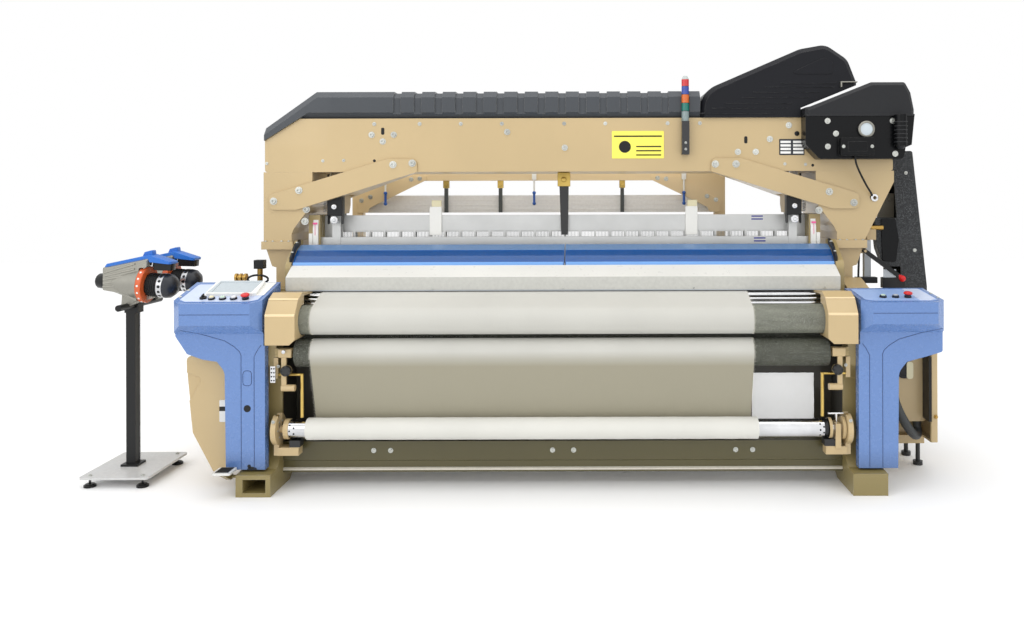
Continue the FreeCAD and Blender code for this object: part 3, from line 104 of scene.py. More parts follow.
def rounded(outline: Sequence[Corner], radius: float, steps: int = 4) -> list[Corner]:
    """An outline with every corner rounded.

    Args:
        outline: The corners in order.
        radius: Radius of the rounding, cut down where a side is short.
        steps: Number of chords in each rounding.

    Returns:
        The rounded outline.
    """
    made: list[Corner] = []
    for index in range(len(outline)):
        corner = Vector(outline[index])
        before = Vector(outline[index - 1]) - corner
        after = Vector(outline[(index + 1) % len(outline)]) - corner
        reach = min(radius / math.tan(before.angle(after) / 2), 0.45 * before.length, 0.45 * after.length)
        first = corner + before.normalized() * reach
        last = corner + after.normalized() * reach
        for step in range(steps + 1):
            share = step / steps
            made.append(tuple(first.lerp(corner, share).lerp(corner.lerp(last, share), share)))
    return made


def rectangle(low: Corner, high: Corner) -> list[Corner]:
    """The four corners of a rectangle from its lowest and highest corner."""
    return [(low[0], low[1]), (high[0], low[1]), (high[0], high[1]), (low[0], high[1])]


def arc(middle: Corner, wide: float, high: float, turn: float, count: int) -> list[Corner]:
    """Points on an ellipse with two half-widths, each an angle in radians on from the last."""
    return [(middle[0] + wide * math.cos(turn * step), middle[1] + high * math.sin(turn * step))
            for step in range(count)]


def facing(y: float, *spots: Corner) -> list[Point]:
    """Points on an upright face at Y, from their X and Z."""
    return [(x, y, z) for x, z in spots]


@dataclass(frozen=True)
class Wheel:
    """A circle in the loom's side view that a web or a yarn goes round."""

    y: float
    z: float
    radius: float
    way: int

    def leave_for(self, other: "Wheel") -> tuple[float, float]:
        """Where the straight stretch to the next wheel leaves and lands.

        Args:
            other: The next wheel on the way.

        Returns:
            The angle on this wheel and the one on the other, in radians.
        """
        distance = math.hypot(other.y - self.y, other.z - self.z)
        lean = math.atan2(other.z - self.z, other.y - self.y)
        drop = (self.radius * self.way - other.radius * other.way) / distance
        normal = lean - math.acos(max(-1.0, min(1.0, drop)))
        return tuple(normal + (0.0 if wheel.way > 0 else math.pi) for wheel in (self, other))

    def at(self, angle: float) -> Corner:
        """The point of the circle at an angle, as Y and Z."""
        return (self.y + self.radius * math.cos(angle), self.z + self.radius * math.sin(angle))


def wrap(start: Corner, wheels: Sequence[Wheel], end: Wheel, chord: float = 0.14) -> list[Corner]:
    """The way of a web over wheels in the loom's side view.

    Args:
        start: Where the web begins, as Y and Z.
        wheels: The wheels that it goes round, in order.
        end: The wheel where it lands.
        chord: Angle of one chord on a wheel, in radians.

    Returns:
        Points along the way, as Y and Z.
    """
    path: list[Corner] = [start]
    arrived = Wheel(*start, 0.001, 1).leave_for(wheels[0])[1]
    for wheel, later in zip(wheels, [*wheels[1:], end]):
        left, landed = wheel.leave_for(later)
        turn = (left - arrived) % math.tau
        if wheel.way < 0:
            turn -= math.tau
        count = max(2, round(abs(turn) / chord))
        path += [wheel.at(arrived + turn * step / count) for step in range(count + 1)]
        arrived = landed
    return [*path, end.at(arrived)]


def spaced(path: Sequence[Corner], longest: float) -> list[Corner]:
    """A path whose stretches are divided.

    Args:
        path: Points along the path.
        longest: Longest stretch that stays whole.

    Returns:
        The path with the points that were added.
    """
    made: list[Corner] = [path[0]]
    for first, last in zip(path, path[1:]):
        count = max(1, math.ceil(math.dist(first, last) / longest))
        made += [tuple(low + (high - low) * step / count for low, high in zip(first, last))
                 for step in range(1, count + 1)]
    return made


def placed(name: str, data: bpy.types.ID) -> Piece:
    """An object of the scene that shows some data.

    Args:
        name: Its name.
        data: What it shows.

    Returns:
        The object.
    """
    thing = bpy.data.objects.new(name, data)
    bpy.context.scene.collection.objects.link(thing)
    return thing


class Shape:
    """Gathers the faces of one piece, in loom millimetres. Each call gives the shape back."""

    def __init__(self, name: str) -> None:
        """Starts an empty piece."""
        self.name = name
        self.mesh = bmesh.new()

    def vertex(self, spot: Sequence[float]) -> bmesh.types.BMVert:
        """One vertex at a point in loom millimetres."""
        return self.mesh.verts.new(AXES.metres(spot))

    def wall(self, first: list, second: list, closed: bool = True) -> None:
        """Faces between two rings of as many vertices, or between a ring and one vertex.

        Args:
            first: The first ring.
            second: The second ring.
            closed: Whether the rings close on themselves.
        """
        count = max(len(first), len(second))
        for index in range(count if closed else count - 1):
            after = (index + 1) % count
            corners = []
            for ring, order in ((first, (index, after)), (second, (after, index))):
                corners += [ring[0]] if len(ring) == 1 else [ring[order[0]], ring[order[1]]]
            self.mesh.faces.new(corners)

    def loft(self, rings: Iterable[Sequence[Point]], capped: bool = True, closed: bool = True) -> "Shape":
        """A skin through rings of as many points.

        Args:
            rings: The rings, each a list of points.
            capped: Whether the two ends are closed.
            closed: Whether each ring closes on itself.

        Returns:
            This shape.
        """
        made = [[self.vertex(spot) for spot in ring] for ring in rings]
        for first, second in zip(made, made[1:]):
            self.wall(first, second, closed)
        for end in (made[0], made[-1]) if capped else ():
            self.mesh.faces.new(end)
        return self

    def skin(self, rows: Iterable[Sequence[Point]]) -> "Shape":
        """A sheet without thickness through rows of as many points."""
        return self.loft(rows, capped=False, closed=False)

    def prism(self, axis: Axis, outline: Sequence[Corner], start: float, end: float) -> "Shape":
        """A prism of an outline that runs from one place on an axis to another."""
        return self.loft([[axis.spot(along, *corner) for corner in outline] for along in (start, end)])

    def block(self, low: Point, high: Point) -> "Shape":
        """A square bar or plate from its lowest and highest corner."""
        return self.prism(Z, rectangle(low[:2], high[:2]), low[2], high[2])

    def blades(self, centre: Corner, section: Sequence[Corner], low: float, high: float,
               count: int) -> "Shape":
        """Like blades that stand round an axis along X.

        Args:
            centre: Y and Z of the axis.
            section: One blade's corners from that axis.
            low: Where the blades start on X.
            high: Where they end.
            count: Number of blades.

        Returns:
            This shape.
        """
        for step in range(count):
            turn = Matrix.Rotation(math.tau * step / count, 2)
            self.prism(X, [Vector(centre) + turn @ Vector(corner) for corner in section], low, high)
        return self

    def lathe(self, axis: Axis, centre: Sequence[float], profile: Sequence[Corner], sides: int = 28,
              turn: Matrix | None = None) -> "Shape":
        """A turned piece.

        Args:
            axis: The axis of turning, before the turn.
            centre: The point that the profile's zero stands on.
            profile: Places along the axis and radii.
            sides: Number of sides.
            turn: A rotation about the centre.

        Returns:
            This shape.
        """
        rings = []
        for along, radius in profile:
            ring = []
            for index in range(sides if radius > 0 else 1):
                angle = math.tau * index / sides
                spot = Vector(axis.spot(along, radius * math.cos(angle), radius * math.sin(angle)))
                ring.append(Vector(centre) + (turn @ spot if turn else spot))
            rings.append(ring)
        return self.loft(rings, capped=False)

    def bar(self, axis: Axis, centre: Point, radius: float, length: float) -> "Shape":
        """A round bar that starts at its centre point and runs along the axis."""
        return self.lathe(axis, centre, [(0, 0), (0, radius), (length, radius), (length, 0)], 20)

    def tube(self, points: Sequence[Point], radius: float, sides: int = 10) -> "Shape":
        """A round bar along points.

        Args:
            points: The points that it follows.
            radius: Its radius.
            sides: Number of sides.

        Returns:
            This shape.
        """
        spots = [Vector(point) for point in points]
        heading = (spots[1] - spots[0]).normalized()
        across = heading.orthogonal().normalized()
        rings = []
        for index, spot in enumerate(spots):
            turned = (spots[min(index + 1, len(spots) - 1)] - spots[max(index - 1, 0)]).normalized()
            across = heading.rotation_difference(turned) @ across
            heading = turned
            rings.append([spot + Matrix.Rotation(math.tau * side / sides, 3, heading) @ across * radius
                          for side in range(sides)])
        return self.loft(rings)

    def screw(self, axis: Axis, centre: Point, radius: float, way: int = -1) -> "Shape":
        """A socket-head screw on its washer.

        Args:
            axis: The axis of the screw.
            centre: Where its washer lies.
            radius: Radius of the head.
            way: The side of the axis that the head stands on.

        Returns:
            This shape.
        """
        profile = ((0, 0), (0, 1.5), (0.18, 1.5), (0.2, 1), (0.765, 1), (0.9, 0.88), (0.9, 0.52),
                   (0.36, 0.5), (0.36, 0))
        return self.lathe(axis, centre, [(way * along * radius, across * radius)
                                         for along, across in profile], 12)

    def done(self, finish: "Finish", bevel: float = 0.8, body: str = "frame",
             stands_for: Sequence[str] = ()) -> Piece:
        """Turns the faces into a piece that rides on a body.

        Args:
            finish: Its finish, with the record's slot that it belongs to.
            bevel: Width of its softened edges, 0 for none.
            body: The body that carries it.
            stands_for: Nodes that it replaces.

        Returns:
            The piece.
        """
        bmesh.ops.recalc_face_normals(self.mesh, faces=self.mesh.faces)
        data = bpy.data.meshes.new(self.name)
        self.mesh.to_mesh(data)
        self.mesh.free()
        data.polygons.foreach_set("use_smooth", [True] * len(data.polygons))
        data.set_sharp_from_angle(angle=SHARP)
        data.materials.append(finish.material())
        piece = placed(self.name, data)
        if bevel:
            edges = piece.modifiers.new("edges", "BEVEL")
            edges.width = bevel * MM
            edges.segments = 2
            edges.limit_method = "ANGLE"
            edges.angle_limit = SHARP
        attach(piece, body)
        if stands_for:
            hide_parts(*stands_for)
        return piece


# ---------------------------------------------------------------- finishes

def shade(*values: int) -> Colour:
    """A colour given in the eight-bit values of a screen, in the shader's own scale."""
    shares = [value / 255 for value in values]
    return tuple(share / 12.92 if share <= 0.04045 else ((share + 0.055) / 1.055) ** 2.4 for share in shares)


def tinted(colour: Colour, factor: float = 1.0) -> tuple[float, float, float, float]:
    """A colour made lighter or darker, with its alpha."""
    return (*(min(1.0, value * factor) for value in colour), 1.0)


class Graph:
    """The node tree of one material, with a short call for each kind of node."""

    def __init__(self, name: str) -> None:
        """Makes the material and reads its object coordinates.

        Args:
            name: The material's name.
        """
        self.material = bpy.data.materials.new(name)
        self.material.use_nodes = True
        self.tree = self.material.node_tree
        self.shader = self.tree.nodes["Principled BSDF"]
        self.place = self.node("TexCoord").outputs["Object"]

    def feed(self, socket: Socket, value: object) -> None:
        """Links a socket to another one, or sets its own value.

        Args:
            socket: The input that is fed.
            value: A socket or a plain value.
        """
        if isinstance(value, Socket):
            self.tree.links.new(value, socket)
        else:
            socket.default_value = value

    def node(self, kind: str, values: dict | None = None, **settings: object) -> bpy.types.Node:
        """Adds a node.

        Args:
            kind: Its type, without the usual prefix.
            values: What its inputs hold or are linked to.
            **settings: Its own properties.

        Returns:
            The node.
        """
        made = self.tree.nodes.new(f"ShaderNode{kind}")
        for name, value in settings.items():
            setattr(made, name, value)
        for name, value in (values or {}).items():
            self.feed(made.inputs[name], value)
        return made

    def noise(self, scale: float, detail: float = 3.0, stretch: Point = (1, 1, 1)) -> Socket:
        """Soft noise in object space, from 0 to 1."""
        place = self.node("Mapping", {"Vector": self.place, "Scale": stretch}).outputs[0]
        return self.node("TexNoise", {"Vector": place, "Scale": scale, "Detail": detail}).outputs[0]

    def bands(self, scale: float, direction: str) -> Socket:
        """Even sine bands across one axis."""
        return self.node("TexWave", {"Vector": self.place, "Scale": scale, "Distortion": 0.0},
                         bands_direction=direction).outputs["Fac"]

    def ranged(self, value: Socket, low: float, high: float, start: float = 0.0, end: float = 1.0) -> Socket:
        """Stretches a value from one range to another, held at both ends."""
        return self.node("MapRange", {"Value": value, "From Min": low, "From Max": high,
                                      "To Min": start, "To Max": end}).outputs[0]

    def math(self, operation: str, first: object, second: object) -> Socket:
        """One sum of two values."""
        return self.node("Math", {0: first, 1: second}, operation=operation).outputs[0]

    def mix(self, factor: object, first: object, second: object) -> Socket:
        """A blend of two colours."""
        return self.node("Mix", {0: factor, 6: first, 7: second}, data_type="RGBA").outputs[2]

    def mix_values(self, factor: object, first: object, second: object) -> Socket:
        """A blend of two values."""
        return self.node("Mix", {0: factor, 2: first, 3: second}, data_type="FLOAT").outputs[0]

    def tones(self, factor: Socket, colour: Colour, low: float, high: float) -> Socket:
        """A colour that runs between a darker and a lighter tone of itself."""
        return self.mix(factor, tinted(colour, low), tinted(colour, high))

    def split(self, place: Socket) -> bpy.types.bpy_prop_collection:
        """The X, Y and Z of a place."""
        return self.node("SeparateXYZ", {0: place}).outputs

    def bump(self, height: Socket, strength: float, distance: float, normal: Socket | None = None) -> Socket:
        """Relief from a height, in metres of distance."""
        values = {"Height": height, "Strength": strength, "Distance": distance}
        return self.node("Bump", values if normal is None else {**values, "Normal": normal}).outputs[0]

    def soft_edges(self, radius: float) -> Socket:
        """A normal that rounds off every edge by a radius in millimetres."""
        return self.node("Bevel", {"Radius": radius * MM}, samples=4).outputs[0]

    def edge_wear(self, soft: Socket) -> Socket:
        """1 along sharp edges and 0 on flat faces.

        Args:
            soft: A normal with rounded edges.

        Returns:
            The share of wear.
        """
        flat = self.node("NewGeometry").outputs["Normal"]
        same = self.node("VectorMath", {0: soft, 1: flat}, operation="DOT_PRODUCT").outputs["Value"]
        return self.ranged(same, 0.72, 0.98, 1.0, 0.0)


@dataclass
class Look:
    """What a finish gives the shader: sockets where it varies, plain values where it doesn't."""

    colour: Socket
    roughness: object
    metallic: object = 0.0
    normal: Socket | None = None
    coat: float = 0.0
    specular: float = 0.5
    sheen: float = 0.0
    transmission: float = 0.0
    # Light that the surface gives off, used only as painted light on a part that is no lamp.
    painted_emission: float = 0.0


@dataclass(frozen=True)
class Finish:
    """A surface finish, the base of all others, and the record's slot that it belongs to."""

    name: str
    colour: Colour
    roughness: float = 0.4
    slot: str | None = field(default=None, kw_only=True)

    def look(self, graph: Graph) -> Look:
        """What this finish gives the shader."""
        raise NotImplementedError

    def material(self) -> bpy.types.Material:
        """The finish's material, made at its first use."""
        label = f"{self.name}_finish"
        known = bpy.data.materials.get(label)
        if known is not None:
            return known
        graph = Graph(label)
        look = self.look(graph)
        shader = graph.shader.inputs
        for socket, value in (
                ("Base Color", look.colour), ("Roughness", look.roughness), ("Metallic", look.metallic),
                ("Normal", look.normal), ("Coat Weight", look.coat), ("Specular IOR Level", look.specular),
                ("Sheen Weight", look.sheen), ("Transmission Weight", look.transmission)):
            if value is not None:
                graph.feed(shader[socket], value)
        # Painted light: emission on a part that is no lamp.
        if look.painted_emission:
            graph.feed(shader["Emission Color"], look.colour)
            shader["Emission Strength"].default_value = look.painted_emission
        return graph.material


@dataclass(frozen=True)
class Paint(Finish):
    """Sprayed enamel: a faint orange peel, slow changes of tone, paler edges that are partly wear and partly a
    painted highlight, and an optional painted shade towards the floor.
    """

    roughness: float = 0.36
    peel: float = 0.12
    mottle: float = 0.05
    wear: float = 0.16
    coat: float = 0.25
    specular: float = 0.5
    # A painted shade: a darker colour that the enamel fades into towards the floor, and the height in
    # millimetres where it has faded out.
    painted_shadow: Colour | None = None
    painted_shadow_top: float = 0.0
    # The pale colour of sharp edges, partly wear and partly a painted highlight.
    wear_and_highlight: Colour = (0.95, 0.93, 0.88)

    def look(self, graph: Graph) -> Look:
        """What this finish gives the shader.

        Args:
            graph: The material's nodes.

        Returns:
            The look.
        """
        slow = graph.noise(1.7, 4.0)
        fine = graph.noise(46.0, 5.0)
        colour = graph.tones(graph.ranged(slow, 0.3, 0.7), self.colour, 1 - self.mottle, 1 + self.mottle)
        # Painted shade: darker towards the floor, fading out by the given height.
        if self.painted_shadow is not None:
            low = graph.ranged(graph.split(graph.place)[2], 0.05, self.painted_shadow_top * MM, 1.0, 0.0)
            colour = graph.mix(low, colour, tinted(self.painted_shadow))
        soft = graph.soft_edges(2.2)
        # Paler sharp edges, partly wear and partly a painted highlight.
        worn = graph.math("MULTIPLY", graph.edge_wear(soft), graph.ranged(fine, 0.35, 0.6, 0.3))
        worn = graph.math("MULTIPLY", worn, self.wear)
        colour = graph.mix(worn, colour, tinted(self.wear_and_highlight))
        roughness = graph.ranged(fine, 0.3, 0.7, self.roughness * 0.88, self.roughness * 1.15)
        normal = graph.bump(graph.noise(420.0, 2.0), self.peel, 0.0006, soft)
        return Look(colour, roughness, normal=normal, coat=self.coat, specular=self.specular)


class Grain(Enum):
    """How a metal's surface was left."""

    BRUSHED = (5.0, 260.0, 260.0)
    TURNED = (260.0, 30.0, 30.0)
    CAST = (90.0, 90.0, 90.0)
    POLISHED = (14.0, 14.0, 14.0)


@dataclass(frozen=True)
class Metal(Finish):
    """Bare or plated metal."""

    grain: Grain = Grain.BRUSHED
    relief: float = 0.15
    stain: float = 0.12
    metallic: float = 1.0

    def look(self, graph: Graph) -> Look:
        """What this finish gives the shader.

        Args:
            graph: The material's nodes.

        Returns:
            The look.
        """
        marks = graph.noise(1.0, 4.0, self.grain.value)
        slow = graph.noise(6.0, 5.0)
        colour = graph.tones(graph.ranged(slow, 0.35, 0.7), self.colour, 1.0, 1 - self.stain * 2)
        roughness = graph.ranged(marks, 0.25, 0.75, self.roughness * 0.75, self.roughness * 1.3)
        normal = graph.bump(marks, self.relief, 0.0004, graph.soft_edges(1.4))
        return Look(colour, roughness, self.metallic, normal)


@dataclass(frozen=True)
class Plastic(Finish):
    """Moulded plastic or rubber with a fine pebble."""

    pebble: float = 0.2
    size: float = 700.0
    speck: float = 0.0
    sheen: float = 0.0
    specular: float = 0.5
    # Light that the plastic gives off: painted light.
    painted_emission: float = 0.0
    grit: Colour = (0.62, 0.64, 0.66)

    def look(self, graph: Graph) -> Look:
        """What this finish gives the shader.

        Args:
            graph: The material's nodes.

        Returns:
            The look.
        """
        grain = graph.node("TexVoronoi", {"Vector": graph.place, "Scale": self.size}).outputs["Distance"]
        slow = graph.noise(3.0, 4.0)
        colour = graph.tones(slow, self.colour, 0.9, 1.1)
        if self.speck:
            spots = graph.ranged(graph.noise(330.0, 2.0), 0.55, 0.68, 0.0, self.speck)
            colour = graph.mix(spots, colour, tinted(self.grit))
        roughness = graph.ranged(slow, 0.3, 0.7, self.roughness * 0.9, self.roughness * 1.12)
        normal = graph.bump(grain, self.pebble, 0.0005, graph.soft_edges(1.2))
        return Look(colour, roughness, normal=normal, sheen=self.sheen, specular=self.specular,
                    painted_emission=self.painted_emission)


@dataclass(frozen=True)
class Emery(Finish):
    """A roller's wrapping of emery: dull grit with bright grains."""

    grit: Colour = (0.75, 0.76, 0.7)

    def look(self, graph: Graph) -> Look:
        """What this finish gives the shader.

        Args:
            graph: The material's nodes.

        Returns:
            The look.
        """
        grit = graph.noise(520.0, 3.0)
        patch = graph.noise(9.0, 5.0, (0.5, 3.0, 3.0))
        colour = graph.tones(graph.ranged(patch, 0.3, 0.7), self.colour, 0.72, 1.22)
        colour = graph.mix(graph.ranged(grit, 0.56, 0.7, 0.0, 0.7), colour, tinted(self.grit))
        return Look(colour, self.roughness, normal=graph.bump(grit, 0.7, 0.0012))


@dataclass(frozen=True)
class Clear(Finish):
    """Tinted clear sheet."""

    roughness: float = 0.05
    through: float = 0.8

    def look(self, graph: Graph) -> Look:
        """What this finish gives the shader.

        Args:
            graph: The material's nodes.

        Returns:
            The look.
        """
        haze = graph.noise(5.0, 4.0, (0.4, 2.0, 2.0))
        roughness = graph.ranged(haze, 0.35, 0.75, self.roughness * 0.6, self.roughness * 2.0)
        colour = graph.tones(haze, self.colour, 0.85, 1.15)
        return Look(colour, roughness, normal=graph.soft_edges(0.8), transmission=self.through)


@dataclass(frozen=True)
class Woven(Finish):
    """Plain-woven cloth: two sets of fine ribs, faint creases, and a painted shade that darkens it where it
    hangs.
    """

    rib: float = 620.0
    crease: float = 0.25
    # A painted shade: the darker colour of the cloth where it hangs, and the heights in metres over which it
    # fades out.
    hanging_shade: Colour | None = None
    hanging_shade_heights: Corner = (0.64, 0.72)

    def look(self, graph: Graph) -> Look:
        """What this finish gives the shader.

        Args:
            graph: The material's nodes.

        Returns:
            The look.
        """
        weave = graph.math("MULTIPLY", graph.bands(self.rib, "X"), graph.bands(self.rib * 1.15, "Z"))
        folds = graph.noise(7.0, 3.0, (1.6, 0.6, 0.35))
        tone = graph.noise(2.2, 5.0, (1.0, 1.0, 0.5))
        colour = graph.tones(graph.ranged(tone, 0.3, 0.7), self.colour, 0.95, 1.03)
        # Painted shade: darker below the given heights, where the hanging cloth lies in shade and shows the
        # dark loom behind it.
        if self.hanging_shade is not None:
            low = graph.ranged(graph.split(graph.place)[2], *self.hanging_shade_heights, 1.0, 0.0)
            colour = graph.mix(low, colour, tinted(self.hanging_shade))
        relief = graph.bump(folds, self.crease, 0.012)
        return Look(colour, self.roughness, normal=graph.bump(weave, 0.25, 0.0006, relief), sheen=0.25)


@dataclass(frozen=True)
class Yarn(Finish):
    """Many fine threads side by side, across X."""

    pitch: float = 300.0

    def look(self, graph: Graph) -> Look:
        """What this finish gives the shader.

        Args:
            graph: The material's nodes.

        Returns:
            The look.
        """
        threads = graph.bands(self.pitch, "X")
        colour = graph.tones(graph.noise(40.0, 4.0, (6.0, 0.4, 0.4)), self.colour, 0.86, 1.06)
        return Look(colour, self.roughness, normal=graph.bump(threads, 0.5, 0.0012), sheen=0.3)


@dataclass(frozen=True)
class Glowing(Finish):
    """A lamp's coloured lens, moulded with fine upright ribs."""

    def look(self, graph: Graph) -> Look:
        """What this finish gives the shader.

        Args:
            graph: The material's nodes.

        Returns:
            The look.
        """
        ribs = graph.noise(900.0, 1.0, (1.0, 1.0, 0.02))
        colour = graph.tones(ribs, self.colour, 0.88, 1.1)
        return Look(colour, self.roughness, normal=graph.bump(ribs, 0.35, 0.0008), coat=0.4)


@dataclass(frozen=True)
class Zone:
    """A box in loom millimetres whose surface has a colour of its own."""

    low: Point
    high: Point
    colour: Colour
    roughness: float = 0.4
    metallic: float = 0.0

    def mask(self, graph: Graph) -> Socket:
        """1 inside the zone's box and 0 outside it.

        Args:
            graph: The material's nodes.

        Returns:
            The mask.
        """
        low, high = AXES.metres(self.low), AXES.metres(self.high)
        shift = graph.node("VectorMath", {0: graph.place, 1: (low + high) / 2}, operation="SUBTRACT")
        reach = graph.node("VectorMath", {0: shift.outputs[0]}, operation="ABSOLUTE").outputs[0]
        split = graph.split(reach)
        sides = [graph.math("LESS_THAN", split[axis], (high[axis] - low[axis]) / 2) for axis in range(3)]
        return graph.math("MULTIPLY", graph.math("MULTIPLY", sides[0], sides[1]), sides[2])


@dataclass(frozen=True)
class Zoned(Finish):
    """A finish with other finishes' tones inside boxes."""

    base: Finish | None = None
    zones: tuple[Zone, ...] = ()

    def look(self, graph: Graph) -> Look:
        """What this finish gives the shader.

        Args:
            graph: The material's nodes.

        Returns:
            The look.
        """
        look = self.base.look(graph)
        grain = graph.noise(60.0, 4.0)
        for zone in self.zones:
            inside = zone.mask(graph)
            look.colour = graph.mix(inside, look.colour, graph.tones(grain, zone.colour, 0.86, 1.12))
            look.roughness = graph.mix_values(inside, look.roughness, zone.roughness)
            look.metallic = graph.mix_values(inside, look.metallic, zone.metallic)
        return look


def zoned(name: str, base: Finish, *zones: Zone) -> Zoned:
    """A finish of its own name that is another one outside its zones."""
    return Zoned(name, base.colour, base=base, zones=zones)


SIDES = {-1: "left", 1: "right"}


def mirrored(side: int, low: float, high: float) -> Corner:
    """A stretch of X given by its distances from the middle, on one side of the loom."""
    return (low, high) if side > 0 else (-high, -low)


def mirrored_zone(side: int, low: Point, high: Point, *look: object) -> Zone:
    """A zone given on the right side of the loom, or its mirror image on the left."""
    start, end = mirrored(side, low[0], high[0])
    return Zone((start, *low[1:]), (end, *high[1:]), *look)


# ---------------------------------------------------------------- the loom's finishes

PLATED, DARK, PALE = "plated_steel", "black_paint", "panel_white"

# The consoles' enamel is painted darker in its lowest 230 mm: painted shade.
BLUE = Paint("console_enamel", shade(96, 129, 185), 0.26, peel=0.04, mottle=0.02, wear=0.0, coat=0.4,
             painted_shadow=shade(66, 92, 136), painted_shadow_top=230, slot="console_blue")
TAN = Paint("tan_enamel", shade(190, 167, 124), slot="tan_paint")
# A paler copy of the tan enamel for the portal and the roller covers' folds: painted light.
LIT_TAN = Paint("portal_enamel", shade(228, 204, 160), slot="tan_paint")
# A darker copy of the tan enamel for the lower cross beams: painted shade.
SHADED_TAN = Paint("shaded_tan_enamel", shade(80, 74, 40), 0.42, wear=0.3)
# The side frames' tan is darker than the upper tan parts and darker still below 700 mm: painted shade.
SHADED_FRAME_TAN = Paint("frame_enamel", shade(160, 141, 94), 0.42, wear=0.3, painted_shadow=shade(136, 122, 76),
                  painted_shadow_top=700)
# One dark grey enamel in two tones: lighter on the ribbed beam cover, which catches the light, and darker on
# the hump cover, whose face is in shade: painted light and painted shade.
LIT_SLATE = Paint("cover_enamel", shade(62, 66, 71), 0.4, wear=0.4, coat=0.1, specular=0.4)
SHADED_SLATE = Paint("hump_enamel", shade(22, 23, 28), 0.45, wear=0.3, coat=0.0, specular=0.2, slot="cover_dark")
DOBBY_GLOSS = Paint("dobby_case_enamel", shade(12, 13, 15), 0.24, wear=0.15, coat=0.0, peel=0.3,
                    specular=0.18, slot="dobby_black")
DOBBY_MATT = Paint("dobby_hood_enamel", shade(28, 29, 32), 0.45, wear=0.2, coat=0.0, peel=0.35,
                   specular=0.3, slot="dobby_black")
GUARD = Plastic("guard_skin", shade(34, 36, 38), 0.5, 0.5, 420.0, speck=0.2, specular=0.3)
WHITE_PANEL = Paint("panel_enamel", shade(218, 218, 214), 0.3, wear=0.1, slot=PALE)
SCREEN_WHITE = Paint("screen_enamel", shade(250, 249, 247), 0.4, wear=0.0, slot=PALE)
MOTOR = Paint("motor_enamel", shade(120, 122, 120), 0.45, slot="motor_grey")
PUMP = Paint("pump_enamel", shade(96, 118, 112), 0.4)
CLEAR_BLUE = Clear("clear_blue_sheet", shade(24, 100, 186), through=0.45)
EMERY = Emery("emery_wrap", shade(108, 110, 98), 0.75)
DARK_EMERY = Emery("dark_emery_wrap", shade(54, 56, 44), 0.75)
STEEL = Metal("bright_steel", shade(205, 206, 208), 0.28, slot=PLATED)
TURNED_STEEL = Metal("turned_steel", shade(196, 197, 198), 0.25, Grain.TURNED)
CHROME = Metal("chrome_plate", shade(225, 226, 228), 0.14, Grain.POLISHED, slot=PLATED)
ZINC = Metal("yellow_zinc", shade(206, 176, 98), 0.32, Grain.POLISHED, stain=0.2, slot=PLATED)
SCREW = Metal("screw_zinc", shade(214, 216, 210), 0.3, Grain.CAST, stain=0.2, metallic=0.6, slot=PLATED)
ALUMINIUM = Metal("heald_aluminium", shade(204, 205, 204), 0.38, relief=0.1, stain=0.05, metallic=0.5,
                  slot="heald_aluminium")
REED_STEEL = Metal("reed_steel", shade(170, 172, 172), 0.3, slot="reed_steel")
CASTING = Metal("silver_casting", shade(158, 156, 147), 0.4, Grain.CAST, relief=0.4, metallic=0.75,
                slot="silver_casting")
BRASS = Metal("brass", shade(188, 152, 84), 0.3, Grain.TURNED, slot=PLATED)
BLACK = Plastic("black_enamel", shade(17, 18, 19), 0.35, 0.12, specular=0.35, slot=DARK)
BLACK_MARK = replace(BLACK, slot=None)
STEEL_MARK = replace(STEEL, slot=None)
RUBBER = Plastic("black_rubber", shade(24, 25, 25), 0.6, 0.5, specular=0.3, slot="black_rubber")
HOSE = Plastic("drain_hose_rubber", shade(58, 60, 60), 0.5, 0.3, specular=0.4, slot="black_rubber")
GRIP = Plastic("grip_grey", shade(172, 178, 184), 0.4, 0.3, slot=PALE)
WHITE_PLASTIC = Plastic("white_plastic", shade(234, 234, 230), 0.35, 0.08, slot=PALE)
WHITE_MARK = replace(WHITE_PLASTIC, slot=None)
IVORY = Plastic("ivory_cap", shade(222, 214, 178), 0.3, 0.05, slot=PALE)
GREEN_CAP = Plastic("green_white_cap", shade(198, 222, 204), 0.3, 0.05)
WHITE_CAP = Plastic("white_cap", shade(226, 228, 230), 0.3, 0.05)
RED = Plastic("red_cap", shade(206, 32, 34), 0.28, 0.05)
PALE_GREY = Plastic("switch_grey", shade(150, 148, 140), 0.45, slot="cabinet_grey")
# Paler blues on top of the consoles' lids: painted highlights where the lids face up.
BLUE_LID_HIGHLIGHT = Plastic("lid_blue", shade(150, 178, 226), 0.3, 0.05, slot="console_blue")
LID_HIGHLIGHT = Plastic("lid_field", shade(196, 208, 234), 0.3, 0.05, slot="console_blue")
DARK_BLUE = Plastic("groove_blue", shade(48, 72, 118), 0.4)
DARK_COLLAR = Plastic("dark_collar", shade(30, 34, 42), 0.35)
ORANGE = Plastic("orange_ring", shade(206, 92, 44), 0.35)
FEEDER_BLUE = Plastic("feeder_blue", shade(34, 106, 196), 0.35, 0.1, slot="console_blue")
EDGE_BLUE = Plastic("edge_blue", shade(110, 160, 222), 0.2, 0.02, slot="clear_blue")
BALL_BLUE = Plastic("ball_blue", shade(40, 92, 176), 0.3, 0.05)
YELLOW = Plastic("yellow_field", shade(242, 232, 96), 0.45, 0.05)
LABEL_BLUE = Plastic("label_blue", shade(66, 72, 150), 0.45, 0.05)
PINK = Plastic("pink_thread", shade(240, 96, 156), 0.6, 0.3)
GLASS = Plastic("screen_glass", shade(198, 208, 214), 0.12, 0.02)
# The film gives off a little light of its own: painted light.
FILM = Plastic("crinkled_film", shade(250, 251, 250), 0.22, 0.05, painted_emission=0.3)
